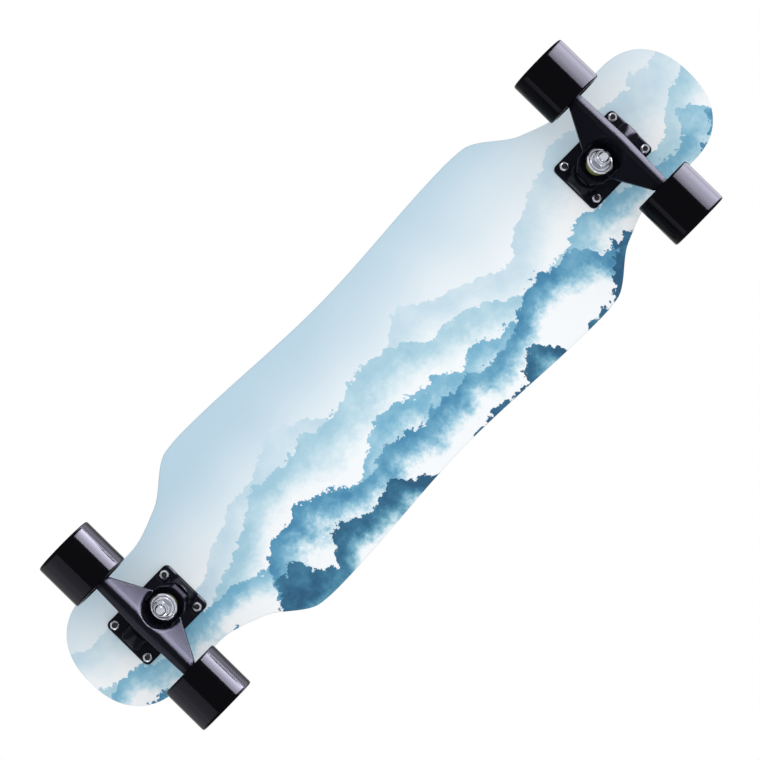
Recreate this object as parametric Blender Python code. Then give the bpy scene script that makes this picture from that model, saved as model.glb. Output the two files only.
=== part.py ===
"""A longboard on two traditional kingpin trucks, in metres, +Z up, standing on its wheels.

+X points to the nose and +Y to the rider's left. The origin lies on the ground under the middle of the deck.
Each truck is modelled in its own frame: X outward to the nearer tip, Z up, its origin on the deck's underside
at the middle of its four bolts. The rear truck is the same truck turned half round.
"""

import math

import bmesh
import bpy
from mathutils import Matrix, Vector

# Deck outline: the runs follow each other along the board, from a tip to its widest place.
DECK_LENGTH = 0.780
DECK_THICKNESS = 0.011
TIP_FLAT = 0.010
PADDLE_RUN = 0.056
PADDLE_HALF_WIDTH = 0.0602
PADDLE_ROUNDNESS = 2.3
NECK_RUN = 0.052
NECK_HALF_WIDTH = 0.0569
FLARE_RUN = 0.044
FLARE_HALF_WIDTH = 0.0695
SHOULDER_RUN = 0.045
SHOULDER_HALF_WIDTH = 0.0985
SHOULDER_ROUND_RUN = 0.021
DECK_HALF_WIDTH = 0.1000
WAIST_HALF_WIDTH = 0.0925
RAIL_CHAMFER = 0.0025
KICK_LENGTH = 0.040
KICK_ANGLE = math.radians(10)
KICK_BLEND = 0.020
CONCAVE_FLAT_HALF_WIDTH = 0.042
CONCAVE_RISE = 0.005

# Grip tape
GRIP_THICKNESS = 0.0008
GRIP_INSET = 0.0030

# What touches keeps this gap, because the solids are faceted.
GAP = 0.0003

# Trucks on the deck
FRONT_TRUCK_FROM_TIP = 0.1135
REAR_TRUCK_FROM_TIP = 0.0845
TRUCK_HEIGHT = 0.054
AXLE_OFFSET = 0.0114

# Mounting bolts and nuts
BOLT_SPACING_X = 0.0635
BOLT_SPACING_Y = 0.0413
BOLT_RADIUS = 0.0024
BOLT_HEAD_RADIUS = 0.0046
BOLT_HEAD_HEIGHT = 0.0024
BOLT_SOCKET_RADIUS = 0.0018
BOLT_SOCKET_DEPTH = 0.0016
BOLT_END_IN_NUT = 0.0010
MOUNTING_NUT_ACROSS = 0.0080
MOUNTING_NUT_HEIGHT = 0.0050
MOUNTING_NUT_COLLAR = 0.0012
COLLAR_SHARE = 0.44

# Baseplate
BASEPLATE_MARGIN_X = 0.0075
BASEPLATE_MARGIN_Y = 0.0061
BASEPLATE_SHIFT = -0.0015
BASEPLATE_CORNER = 0.0050
BASEPLATE_EDGE = 0.0010
FLANGE_THICKNESS = 0.0058
SPINE_HALF_WIDTH = 0.0120
SPINE_THICKNESS = 0.0090
BOSS_RIM = 0.0023
BOSS_TAPER = 0.0010
BOSS_HEIGHT = 0.0215

# Kingpin and what it carries, measured along it from the deck's underside
KINGPIN_LEAN = math.radians(20)
KINGPIN_FOOT = -0.0297
KINGPIN_RADIUS = 0.00475
KINGPIN_PAST_NUT = 0.0029
KINGPIN_HEAD_RIM = 0.00225
KINGPIN_HEAD_START = 0.0032
KINGPIN_HEAD_HEIGHT = 0.0058
KINGPIN_CHAMFER = 0.0008
BOARDSIDE_BUSHING_HEIGHT = 0.0137
ROADSIDE_BUSHING_HEIGHT = 0.0117
BUSHING_RADIUS = 0.0123
BUSHING_BULGE = 0.0005
BUSHING_TAPER = 0.0021
WASHER_FLARE = 0.0017
WASHER_THICKNESS = 0.0016
WASHER_SKIRT = 0.0014
KINGPIN_NUT_ACROSS = 0.0143
KINGPIN_NUT_HEIGHT = 0.0083
KINGPIN_NUT_COLLAR = 0.0018

# Hanger: the ring is measured from the rim of the bushings' seats.
HANGER_WIDTH = 0.129
RING_THICKNESS = 0.0060
RING_HOLE_CLEARANCE = 0.00275
RING_SEAT_DEPTH = 0.0012
RING_END_WALL = 0.0016
RING_END_HALF_WIDTH = 0.0095
RING_SIDE_WALL = 0.0039
KEEL_HALF_WIDTH = 0.0085
WEB_ROOT = 0.0250
WEB_ROOT_REACH = 0.0232
WEB_END_MARGIN = 0.0105
WEB_END_REACH = 0.0082
WEB_SLOPE = 0.469
WEB_THICKNESS = 0.0075
BAR_MIDDLE_HALF_WIDTH = 0.0083
BAR_MIDDLE_HALF_HEIGHT = 0.0086
BAR_END_HALF_WIDTH = 0.0067
BAR_END_HALF_HEIGHT = 0.0067
BAR_CREST_SHARE = 1 / 2
BAR_FLANK_SHARE = 0.4
KEEL_SHARE = 1 / 3
SECTION_STEP = 0.0025
RECESS_MARGIN_X = 0.0024
RECESS_MARGIN_Y = 0.0054

# Pivot: its distance is measured along the steering axis from the middle of the hanger's ring.
PIVOT_DISTANCE = 0.0430
PIVOT_RADIUS = 0.0055
PIVOT_NECK_LENGTH = 0.0140
PIVOT_NECK_SWELL = 0.0027
PIVOT_ROOT_FROM_RING = 0.0170
PIVOT_ROOT_SWELL = 0.0013
CUP_WALL = 0.0022
CUP_FLOOR = 0.0014
CUP_MOUTH = 0.0050
HOUSING_WALL = 0.0022
HOUSING_FLOOR = 0.0020

# Axle, wheels and bearings
AXLE_RADIUS = 0.0040
AXLE_PAST_NUT = 0.0020
AXLE_CHAMFER = 0.0006
WHEEL_RADIUS = 0.030
WHEEL_WIDTH = 0.048
WHEEL_EDGE = 0.0025
WHEEL_RIM = 0.0055
WHEEL_CORE_RADIUS = 0.0195
WHEEL_CORE_DEPTH = 0.0090
WHEEL_SHOULDER = 0.0017
BEARING_RADIUS = 0.011
BEARING_WIDTH = 0.007
BEARING_SPACER = 0.010
RACE_WALL = 0.0015
SHIELD_THICKNESS = 0.0006
SHIELD_GAP = 0.0007
INNER_RACE_WALL = 0.0022
SPACER_WALL = 0.0015
SPEED_RING_THICKNESS = 0.0012
AXLE_NUT_ACROSS = 0.0130
AXLE_NUT_HEIGHT = 0.0062
AXLE_NUT_COLLAR = 0.0014

# Sides of the round forms
BOLT_SIDES = 10
SHAFT_SIDES = 12
PIVOT_SIDES = 12
KINGPIN_SIDES = 16
RACE_SIDES = 16
HOUSING_SIDES = 16
BUSHING_SIDES = 20
BOSS_SIDES = 20
RECESS_SIDES = 24
WHEEL_SIDES = 28
ROUND_END_STEPS = 3
SHARP_ANGLE = math.radians(32)
CHAMFER_ANGLE = math.radians(60)

# Places along the deck, from a tip
NECK_FROM_TIP = PADDLE_RUN + NECK_RUN
FLARE_FROM_TIP = NECK_FROM_TIP + FLARE_RUN
SHOULDER_FROM_TIP = FLARE_FROM_TIP + SHOULDER_RUN
WIDEST_FROM_TIP = SHOULDER_FROM_TIP + SHOULDER_ROUND_RUN

# Heights in the world
AXLE_Z = WHEEL_RADIUS
DECK_BOTTOM_Z = AXLE_Z + TRUCK_HEIGHT
DECK_TOP_Z = DECK_BOTTOM_Z + DECK_THICKNESS
GRIP_TOP_Z = DECK_TOP_Z + GAP + GRIP_THICKNESS

# Radii that follow what they carry or fit
SEAT_RADIUS = BUSHING_RADIUS + GAP
ROADSIDE_TIP_RADIUS = BUSHING_RADIUS - BUSHING_TAPER
KINGPIN_HOLE_RADIUS = KINGPIN_RADIUS + GAP
KINGPIN_HEAD_RADIUS = KINGPIN_RADIUS + KINGPIN_HEAD_RIM
BOSS_TOP_RADIUS = BUSHING_RADIUS + BOSS_RIM
AXLE_HOLE_RADIUS = AXLE_RADIUS + GAP
CUP_RADIUS = PIVOT_RADIUS + GAP + CUP_WALL
HOUSING_RADIUS = CUP_RADIUS + GAP + HOUSING_WALL

# Stations along the kingpin
BOARDSIDE_SEAT = BOSS_HEIGHT
RING_LOWER_SEAT = BOARDSIDE_SEAT + BOARDSIDE_BUSHING_HEIGHT
RING_MIDDLE = RING_LOWER_SEAT + RING_THICKNESS / 2
RING_UPPER_SEAT = RING_LOWER_SEAT + RING_THICKNESS
WASHER_SEAT = RING_UPPER_SEAT + ROADSIDE_BUSHING_HEIGHT
KINGPIN_NUT_SEAT = WASHER_SEAT + WASHER_THICKNESS + GAP
KINGPIN_LENGTH = KINGPIN_NUT_SEAT + KINGPIN_NUT_HEIGHT + KINGPIN_PAST_NUT

# The ring's reach from the kingpin, and where the webs run out along the bar
RING_END = SEAT_RADIUS + RING_END_WALL
RING_HALF_WIDTH = SEAT_RADIUS + RING_SIDE_WALL
HANGER_END = HANGER_WIDTH / 2
WEB_END = HANGER_END - WEB_END_MARGIN

# Stations along the axle, from the truck's middle
INNER_BEARING_START = HANGER_END + GAP + SPEED_RING_THICKNESS + GAP
WHEEL_MIDDLE = INNER_BEARING_START + BEARING_WIDTH + BEARING_SPACER / 2
BEARING_START = BEARING_SPACER / 2
BEARING_END = BEARING_START + BEARING_WIDTH
AXLE_NUT_SEAT = WHEEL_MIDDLE + BEARING_END + SPEED_RING_THICKNESS + GAP
AXLE_END = AXLE_NUT_SEAT + AXLE_NUT_HEIGHT + AXLE_PAST_NUT

# Lines in the truck's frame
KINGPIN_LINE = Matrix.Translation((KINGPIN_FOOT, 0, 0)) @ Matrix.Rotation(math.pi - KINGPIN_LEAN, 4, "Y")
RING_CENTRE = KINGPIN_LINE @ Vector((0, 0, RING_MIDDLE))
STEER_LINE = Matrix.Translation(RING_CENTRE) @ Matrix.Rotation(-KINGPIN_LEAN, 4, "Y")
AXLE_CENTRE = Vector((AXLE_OFFSET, 0, -TRUCK_HEIGHT))
PIVOT_LINE = STEER_LINE @ Matrix.Translation((PIVOT_DISTANCE, 0, 0)) @ Matrix.Rotation(math.pi / 2, 4, "Y")

Z_TO_Y = Matrix.Rotation(-math.pi / 2, 4, "X")
HALF_TURN = Matrix.Rotation(math.pi, 4, "Z")
IN_PLACE = Matrix.Identity(4)


def clear_scene():
    """Removes what the startup scene holds."""
    for thing in list(bpy.data.objects):
        bpy.data.objects.remove(thing, do_unlink=True)


def material(name, colour, roughness, metallic=0.0):
    """A Principled material."""
    made = bpy.data.materials.new(name)
    made.use_nodes = True
    shader = made.node_tree.nodes["Principled BSDF"]
    shader.inputs["Base Color"].default_value = (*colour, 1.0)
    shader.inputs["Roughness"].default_value = roughness
    shader.inputs["Metallic"].default_value = metallic
    return made


def mesh_from(work, name):
    """A mesh of the bmesh, its faces triangles that point out."""
    bmesh.ops.recalc_face_normals(work, faces=work.faces)
    bmesh.ops.triangulate(work, faces=work.faces)
    mesh = bpy.data.meshes.new(name)
    work.to_mesh(mesh)
    work.free()
    return mesh


def turned(name, profile, sides, start=0.0):
    """A body turned about Z from (radius, height) points. Points on the axis close its ends."""
    work = bmesh.new()
    points = [work.verts.new((radius, 0, height)) for radius, height in profile]
    edges = [work.edges.new(pair) for pair in zip(points, points[1:])]
    if min(radius for radius, height in profile) > 0:
        edges.append(work.edges.new((points[-1], points[0])))
    bmesh.ops.rotate(work, verts=points, matrix=Matrix.Rotation(start, 3, "Z"))
    whole = 2 * math.pi
    bmesh.ops.spin(
        work, geom=points + edges, cent=(0, 0, 0), axis=(0, 0, 1), angle=whole, steps=sides, use_merge=True
    )
    bmesh.ops.remove_doubles(work, verts=work.verts, dist=1e-6)
    return mesh_from(work, name)


def lofted(name, loops):
    """A closed body through loops of equally many points, its first and last loops filled."""
    work = bmesh.new()
    rows = [[work.verts.new(point) for point in loop] for loop in loops]
    for row, following in zip(rows, rows[1:]):
        for i, corner in enumerate(row):
            after = (i + 1) % len(row)
            work.faces.new((corner, row[after], following[after], following[i]))
    work.faces.new(rows[0])
    work.faces.new(rows[-1])
    return mesh_from(work, name)


def block(name, low, high):
    """A box between two corners."""
    corners = [(low[0], low[1]), (high[0], low[1]), (high[0], high[1]), (low[0], high[1])]
    return lofted(name, [[(x, y, z) for x, y in corners] for z in (low[2], high[2])])


def helper(mesh, matrix=None):
    """A working object that doesn't render."""
    made = bpy.data.objects.new("helper", mesh.copy())
    bpy.context.scene.collection.objects.link(made)
    made.hide_render = True
    made.display_type = "WIRE"
    if matrix is not None:
        made.data.transform(matrix)
    return made


def baked(target):
    """The mesh that the object's modifiers give. The object is removed."""
    graph = bpy.context.evaluated_depsgraph_get()
    mesh = bpy.data.meshes.new_from_object(target.evaluated_get(graph))
    bpy.data.objects.remove(target, do_unlink=True)
    return mesh


def combined(mesh, operation, others, solver="EXACT"):
    """The mesh after a Boolean with each (mesh, matrix) in turn."""
    target = helper(mesh)
    tools = [helper(other, matrix) for other, matrix in others]
    for tool in tools:
        step = target.modifiers.new("combine", "BOOLEAN")
        step.operation = operation
        step.solver = solver
        step.object = tool
    result = baked(target)
    for tool in tools:
        bpy.data.objects.remove(tool, do_unlink=True)
    return result


def chamfered(mesh, width):
    """The mesh with its sharp edges cut back by the width."""
    target = helper(mesh)
    step = target.modifiers.new("edges", "BEVEL")
    step.width = width
    step.segments = 1
    step.limit_method = "ANGLE"
    step.angle_limit = CHAMFER_ANGLE
    return baked(target)


def empty(name, parent, matrix):
    """A point to parent pieces to."""
    made = bpy.data.objects.new(name, None)
    bpy.context.scene.collection.objects.link(made)
    made.parent = parent
    made.matrix_basis = matrix
    return made


def piece(name, mesh, finish, parent=None, matrix=None):
    """One node of the model, shaded smooth up to its sharp edges."""
    mesh.materials.clear()
    mesh.materials.append(finish)
    mesh.shade_smooth()
    mesh.set_sharp_from_angle(angle=SHARP_ANGLE)
    made = bpy.data.objects.new(name, mesh)
    bpy.context.scene.collection.objects.link(made)
    made.parent = parent
    if matrix is not None:
        made.matrix_basis = matrix
    return made


def smooth_through(keys, at):
    """The height at a place along key points (place, height), with no overshoot between them."""
    gaps = [b[0] - a[0] for a, b in zip(keys, keys[1:])]
    slopes = [(b[1] - a[1]) / gap for a, b, gap in zip(keys, keys[1:], gaps)]
    tangents = [0.0]
    for before, after in zip(slopes, slopes[1:]):
        tangents.append(0.0 if before * after <= 0 else 2 * before * after / (before + after))
    tangents.append(0.0)
    for i, gap in enumerate(gaps):
        if at <= keys[i + 1][0]:
            break
    t = (at - keys[i][0]) / gap
    start = (1 + 2 * t) * (1 - t) ** 2 * keys[i][1] + t * (1 - t) ** 2 * gap * tangents[i]
    end = t * t * (3 - 2 * t) * keys[i + 1][1] - t * t * (1 - t) * gap * tangents[i + 1]
    return start + end


def deck_half_width(from_tip):
    """Half the deck's width at a distance from its nearer tip."""
    if from_tip <= PADDLE_RUN:
        round_part = 1 - (1 - from_tip / PADDLE_RUN) ** PADDLE_ROUNDNESS
        return max(TIP_FLAT, PADDLE_HALF_WIDTH * round_part ** (1 / PADDLE_ROUNDNESS))
    keys = [
        (PADDLE_RUN, PADDLE_HALF_WIDTH),
        (NECK_FROM_TIP, NECK_HALF_WIDTH),
        (FLARE_FROM_TIP, FLARE_HALF_WIDTH),
        (SHOULDER_FROM_TIP, SHOULDER_HALF_WIDTH),
        (WIDEST_FROM_TIP, DECK_HALF_WIDTH),
        (DECK_LENGTH / 2, WAIST_HALF_WIDTH),
    ]
    return smooth_through(keys, from_tip)


def deck_rise(from_tip, across):
    """How far the deck's surface bends up from its flat middle."""
    into_kick = max(0.0, KICK_LENGTH - from_tip)
    if into_kick < KICK_BLEND:
        kick = math.tan(KICK_ANGLE) * into_kick**2 / (2 * KICK_BLEND)
    else:
        kick = math.tan(KICK_ANGLE) * (into_kick - KICK_BLEND / 2)
    outside = max(0.0, abs(across) - CONCAVE_FLAT_HALF_WIDTH)
    return kick + CONCAVE_RISE * (outside / (DECK_HALF_WIDTH - CONCAVE_FLAT_HALF_WIDTH)) ** 2


def deck_stations():
    """Distances from a tip where the outline has a point, up to the middle."""
    paddle_steps = 7
    turns = [math.pi / 2 * i / paddle_steps for i in range(paddle_steps + 1)]
    places = [PADDLE_RUN * (1 - math.cos(turn)) for turn in turns]
    spans = ((NECK_FROM_TIP, 3), (FLARE_FROM_TIP, 3), (WIDEST_FROM_TIP, 6), (DECK_LENGTH / 2, 5))
    for end, count in spans:
        start = places[-1]
        places += [start + (end - start) * (i + 1) / count for i in range(count)]
    return places


def deck_layer(name, inset, bottom, top):
    """A layer of the deck between two heights, its outline drawn in by the inset."""
    flat_share = CONCAVE_FLAT_HALF_WIDTH / DECK_HALF_WIDTH
    middle_share = (1 + flat_share) / 2
    columns = (-1, -middle_share, -flat_share, 0, flat_share, middle_share, 1)
    half = [inset] + [place for place in deck_stations() if place > inset + GRIP_THICKNESS]
    rows = [(place - DECK_LENGTH / 2, place) for place in half]
    rows += [(DECK_LENGTH / 2 - place, place) for place in reversed(half[:-1])]
    loops = []
    for x, from_tip in rows:
        half_width = deck_half_width(from_tip) - inset
        points = [(x, half_width * share) for share in columns]
        rises = [deck_rise(from_tip, y) for _, y in points]
        under = [(px, py, bottom + rise) for (px, py), rise in zip(points, rises)]
        over = [(px, py, top + rise) for (px, py), rise in zip(points, rises)]
        loops.append(under + over[::-1])
    return lofted(name, loops)


def truck_matrix(end):
    """Where a truck's frame lies in the world: end is 1 at the nose and -1 at the tail."""
    from_tip = FRONT_TRUCK_FROM_TIP if end > 0 else REAR_TRUCK_FROM_TIP
    place = Matrix.Translation((end * (DECK_LENGTH / 2 - from_tip), 0, DECK_BOTTOM_Z))
    return place if end > 0 else place @ HALF_TURN


def bolt_places():
    """The four mounting bolts in a truck's frame, with words for their places."""
    for along, inward_word in ((1, "outer"), (-1, "inner")):
        for side in (1, -1):
            yield along * BOLT_SPACING_X / 2, side * BOLT_SPACING_Y / 2, side, inward_word


def bolt_cutter():
    """The space of a mounting bolt through grip, deck and baseplate, with its clearance."""
    radius = BOLT_RADIUS + GAP
    head = BOLT_HEAD_RADIUS + GAP
    rim = GRIP_TOP_Z - DECK_BOTTOM_Z - GAP
    above = rim + GRIP_THICKNESS
    below = -FLANGE_THICKNESS - SPINE_THICKNESS
    profile = [(0, above), (head, above), (head, rim)]
    profile += [(radius, rim - BOLT_HEAD_HEIGHT), (radius, below), (0, below)]
    return turned("bolt_space", profile, BOLT_SIDES)


def deck_with_holes(mesh):
    """The layer with the eight countersunk bolt holes cut through it. The exact solver can leave the thin
    grip tape open at a hole's corner, so these cuts use the manifold solver."""
    cutter = bolt_cutter()
    cutters = []
    for end in (1, -1):
        for x, y, _, _ in bolt_places():
            cutters.append((cutter, truck_matrix(end) @ Matrix.Translation((x, y, 0))))
    return combined(mesh, "DIFFERENCE", cutters, solver="MANIFOLD")


def make_deck(wood, grit):
    """The laminated deck and its grip tape."""
    deck = chamfered(deck_layer("deck", 0.0, DECK_BOTTOM_Z, DECK_TOP_Z), RAIL_CHAMFER)
    piece("deck", deck_with_holes(deck), wood)
    grip = deck_layer("grip_tape", GRIP_INSET, DECK_TOP_Z + GAP, GRIP_TOP_Z)
    piece("grip_tape", deck_with_holes(grip), grit)


def rounded_plate(name, bottom, top, inset=0.0):
    """The baseplate's outline, with round corners, between two heights."""
    half_length = BOLT_SPACING_X / 2 + BASEPLATE_MARGIN_X - BASEPLATE_CORNER
    half_width = BOLT_SPACING_Y / 2 + BASEPLATE_MARGIN_Y - BASEPLATE_CORNER
    corner = BASEPLATE_CORNER - inset
    outline = []
    for quarter, (sx, sy) in enumerate(((1, 1), (-1, 1), (-1, -1), (1, -1))):
        for step in range(4):
            turn = math.pi / 2 * (quarter + step / 3)
            x = BASEPLATE_SHIFT + sx * half_length + corner * math.cos(turn)
            outline.append((x, sy * half_width + corner * math.sin(turn)))
    return lofted(name, [[(x, y, z) for x, y in outline] for z in (bottom, top)])


def kingpin_space():
    """The space of the kingpin in the baseplate: a pocket for its head, then the hole for its shank."""
    pocket = KINGPIN_HEAD_RADIUS + GAP
    floor = KINGPIN_HEAD_START + KINGPIN_HEAD_HEIGHT + GAP
    past = 2 * BOSS_HEIGHT
    profile = [(0, -floor), (pocket, -floor), (pocket, floor), (KINGPIN_HOLE_RADIUS, floor)]
    profile += [(KINGPIN_HOLE_RADIUS, past), (0, past)]
    return turned("kingpin_space", profile, KINGPIN_SIDES)


def cup_space():
    """The space of the pivot cup in the baseplate's housing."""
    radius = CUP_RADIUS + GAP
    floor = PIVOT_RADIUS + GAP + CUP_FLOOR + GAP
    profile = [(0, -2 * CUP_MOUTH), (radius, -2 * CUP_MOUTH), (radius, floor), (0, floor)]
    return turned("cup_space", profile, PIVOT_SIDES)


def boss_mesh():
    """The boss that the kingpin stands in. Its foot leaves room for a wrench on the mounting nuts."""
    top = BOSS_HEIGHT - GAP
    foot_radius = BOSS_TOP_RADIUS + BOSS_TAPER
    profile = [(0, 0), (foot_radius, 0), (BOSS_TOP_RADIUS, top), (0, top)]
    return turned("boss", profile, BOSS_SIDES)


def housing_mesh(end):
    """The round housing of the pivot cup, up to its closed end."""
    profile = [
        (0, -CUP_MOUTH),
        (HOUSING_RADIUS, -CUP_MOUTH),
        (HOUSING_RADIUS, end - HOUSING_WALL),
        (HOUSING_RADIUS - HOUSING_WALL, end),
        (0, end),
    ]
    return turned("housing", profile, HOUSING_SIDES)


def baseplate_mesh():
    """The casting under the deck: flange, spine, kingpin boss and pivot housing."""
    flange = chamfered(rounded_plate("baseplate", -FLANGE_THICKNESS, -GAP), BASEPLATE_EDGE)
    pivot = PIVOT_LINE.to_translation()
    cup_end = PIVOT_RADIUS + GAP + CUP_FLOOR
    mouth = PIVOT_LINE @ Vector((0, 0, -CUP_MOUTH))
    back = PIVOT_LINE @ Vector((0, 0, cup_end))
    half_pedestal = HOUSING_RADIUS - GAP
    spine_end = (pivot.x, SPINE_HALF_WIDTH, 0)
    spine = block("spine", (-BOLT_SPACING_X, -SPINE_HALF_WIDTH, -SPINE_THICKNESS), spine_end)
    pedestal = block("pedestal", (mouth.x, -half_pedestal, pivot.z), (back.x, half_pedestal, 0))
    raised = [(pedestal, IN_PLACE), (boss_mesh(), KINGPIN_LINE)]
    raised.append((housing_mesh(cup_end + GAP + HOUSING_FLOOR), PIVOT_LINE))
    above_flange = combined(spine, "UNION", raised)
    envelope = rounded_plate("envelope", -TRUCK_HEIGHT, -FLANGE_THICKNESS / 2, inset=BASEPLATE_EDGE)
    above_flange = combined(above_flange, "INTERSECT", [(envelope, IN_PLACE)])
    solid = combined(flange, "UNION", [(above_flange, IN_PLACE)])
    bolt_space = bolt_cutter()
    cuts = [(kingpin_space(), KINGPIN_LINE), (cup_space(), PIVOT_LINE)]
    cuts += [(bolt_space, Matrix.Translation((x, y, 0))) for x, y, _, _ in bolt_places()]
    return combined(solid, "DIFFERENCE", cuts)


def round_end(radius):
    """Points (radius, height) of a half round end, from its pole on the axis to its widest."""
    turns = [math.pi / 2 * step / ROUND_END_STEPS for step in range(1, ROUND_END_STEPS + 1)]
    return [(0, radius)] + [(radius * math.sin(turn), radius * math.cos(turn)) for turn in turns]


def pivot_cup_mesh():
    """The urethane cup that the hanger's pivot turns in."""
    inside = PIVOT_RADIUS + GAP
    profile = round_end(inside) + [(inside, -CUP_MOUTH), (CUP_RADIUS, -CUP_MOUTH)]
    profile += [(CUP_RADIUS, inside + CUP_FLOOR), (0, inside + CUP_FLOOR)]
    return turned("pivot_cup", profile, PIVOT_SIDES)


def kingpin_mesh():
    """The kingpin: a round head in the baseplate's pocket and a threaded shank."""
    head_end = KINGPIN_HEAD_START + KINGPIN_HEAD_HEIGHT
    profile = [
        (0, KINGPIN_HEAD_START),
        (KINGPIN_HEAD_RADIUS, KINGPIN_HEAD_START),
        (KINGPIN_HEAD_RADIUS, head_end),
        (KINGPIN_RADIUS, head_end),
        (KINGPIN_RADIUS, KINGPIN_LENGTH - KINGPIN_CHAMFER),
        (KINGPIN_RADIUS - KINGPIN_CHAMFER, KINGPIN_LENGTH),
        (0, KINGPIN_LENGTH),
    ]
    return turned("kingpin", profile, KINGPIN_SIDES)


def bushing_mesh(name, start, end, start_radius, end_radius):
    """A urethane bushing between two seats on the kingpin, bulging a little at half height."""
    start, end = start + GAP, end - GAP
    hole = KINGPIN_HOLE_RADIUS
    middle_radius = (start_radius + end_radius) / 2 + BUSHING_BULGE
    profile = [(hole, start), (start_radius, start), (middle_radius, (start + end) / 2)]
    profile += [(end_radius, end), (hole, end)]
    return turned(name, profile, BUSHING_SIDES)


def washer_mesh():
    """The cupped washer on the roadside bushing."""
    inside = ROADSIDE_TIP_RADIUS + 2 * GAP
    rim = inside + WASHER_FLARE
    top = WASHER_SEAT + WASHER_THICKNESS
    profile = [
        (KINGPIN_HOLE_RADIUS, WASHER_SEAT),
        (inside, WASHER_SEAT),
        (rim - WASHER_THICKNESS / 2, WASHER_SEAT - WASHER_SKIRT),
        (rim, WASHER_SEAT - WASHER_SKIRT + GAP),
        (inside + WASHER_THICKNESS / 2, top),
        (KINGPIN_HOLE_RADIUS, top),
    ]
    return turned("washer", profile, BUSHING_SIDES)


def nut_mesh(across, height, collar, hole, sides):
    """A lock nut on Z: a hexagon with a round collar over its nylon ring."""
    corner = across / 2 / math.cos(math.pi / 6)
    hexagon = turned("nut", [(0, 0), (corner, 0), (corner, height - collar), (0, height - collar)], 6)
    collar_radius = across * COLLAR_SHARE
    ring = [(0, collar), (collar_radius, collar), (collar_radius, height - collar / 2)]
    ring += [(collar_radius - collar / 2, height), (0, height)]
    bore = [(0, -height), (hole, -height), (hole, 2 * height), (0, 2 * height)]
    solid = combined(hexagon, "UNION", [(turned("collar", ring, sides), IN_PLACE)])
    return combined(solid, "DIFFERENCE", [(turned("bore", bore, sides), IN_PLACE)])


def bolt_mesh():
    """A countersunk mounting bolt with its head's top at zero and its shank along -Z."""
    nut_face = DECK_BOTTOM_Z - FLANGE_THICKNESS - GAP - MOUNTING_NUT_HEIGHT
    length = GRIP_TOP_Z - nut_face - BOLT_END_IN_NUT
    profile = [
        (0, -BOLT_SOCKET_DEPTH),
        (BOLT_SOCKET_RADIUS, -BOLT_SOCKET_DEPTH),
        (BOLT_SOCKET_RADIUS, 0),
        (BOLT_HEAD_RADIUS, 0),
        (BOLT_RADIUS, -BOLT_HEAD_HEIGHT),
        (BOLT_RADIUS, -length),
        (0, -length),
    ]
    return turned("bolt", profile, BOLT_SIDES)


def ring_plane(x, offset):
    """The height, in the truck's frame, of a plane along the steering axis, set off along the kingpin."""
    lean = KINGPIN_LEAN
    base = RING_CENTRE + offset * Vector((math.sin(lean), 0, -math.cos(lean)))
    return base.z + (x - base.x) * math.tan(lean)


def mixed(a, b, share):
    """The value a share of the way from a to b."""
    return a + (b - a) * share


def hanger_reach(y, ridge_x):
    """How far in the hanger reaches at a distance from its middle: the ring's end, then the web's edge."""
    ring_x = RING_CENTRE.x - RING_END
    root_x = AXLE_CENTRE.x - WEB_ROOT_REACH
    end_x = AXLE_CENTRE.x - WEB_END_REACH
    if y <= RING_END_HALF_WIDTH:
        return ring_x
    if y <= WEB_ROOT:
        return mixed(ring_x, root_x, (y - RING_END_HALF_WIDTH) / (WEB_ROOT - RING_END_HALF_WIDTH))
    return min(ridge_x, mixed(root_x, end_x, (y - WEB_ROOT) / (WEB_END - WEB_ROOT)))


def hanger_section(y):
    """The hanger's outline across the board at a distance from its middle: bar, web and ring or keel."""
    along = min(1.0, y / WEB_END)
    half_width = mixed(BAR_MIDDLE_HALF_WIDTH, BAR_END_HALF_WIDTH, along)
    half_height = mixed(BAR_MIDDLE_HALF_HEIGHT, BAR_END_HALF_HEIGHT, along)
    x, z = AXLE_CENTRE.x, AXLE_CENTRE.z
    crest = BAR_CREST_SHARE * half_width
    flank = BAR_FLANK_SHARE * half_height
    ridge_x, road_z, board_z = x - crest, z - half_height, z + half_height
    section = [(x + half_width, z - flank), (x + crest, road_z), (ridge_x, road_z)]
    if y > WEB_END:
        section += [(x - half_width, z - flank), (x - half_width, z + flank)]
        section += [(ridge_x, board_z), (x + crest, board_z)]
    else:
        inner_x = hanger_reach(y, ridge_x)
        inner_road_z = road_z + WEB_SLOPE * (ridge_x - inner_x)
        seat_offset = -RING_THICKNESS / 2 - RING_SEAT_DEPTH
        ring_x = RING_CENTRE.x + RING_HALF_WIDTH
        keel_x = x + KEEL_SHARE * half_width
        section.append((inner_x, inner_road_z))
        if y <= RING_HALF_WIDTH:
            section += [(place, ring_plane(place, seat_offset)) for place in (inner_x, ring_x)]
        else:
            web_x = (inner_x + ridge_x) / 2
            web_z = road_z + WEB_SLOPE * (ridge_x - web_x) + WEB_THICKNESS
            section += [(inner_x, inner_road_z + WEB_THICKNESS), (web_x, web_z)]
        section.append((keel_x, ring_plane(keel_x, seat_offset) if y <= KEEL_HALF_WIDTH else board_z))
    section.append((x + half_width, z + flank))
    return section


def hanger_nose_mesh():
    """The pivot nose: a round end that swells to its neck and runs back into the bar."""
    root = PIVOT_ROOT_FROM_RING - PIVOT_DISTANCE
    profile = round_end(PIVOT_RADIUS)
    profile += [
        (PIVOT_RADIUS, -CUP_MOUTH),
        (PIVOT_RADIUS + PIVOT_NECK_SWELL, -PIVOT_NECK_LENGTH),
        (PIVOT_RADIUS + PIVOT_ROOT_SWELL, root),
        (0, root),
    ]
    return turned("nose", profile, PIVOT_SIDES)


def cylinder(name, radius, start, end, sides):
    """A plain cylinder on Z."""
    return turned(name, [(0, start), (radius, start), (radius, end), (0, end)], sides)


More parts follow.
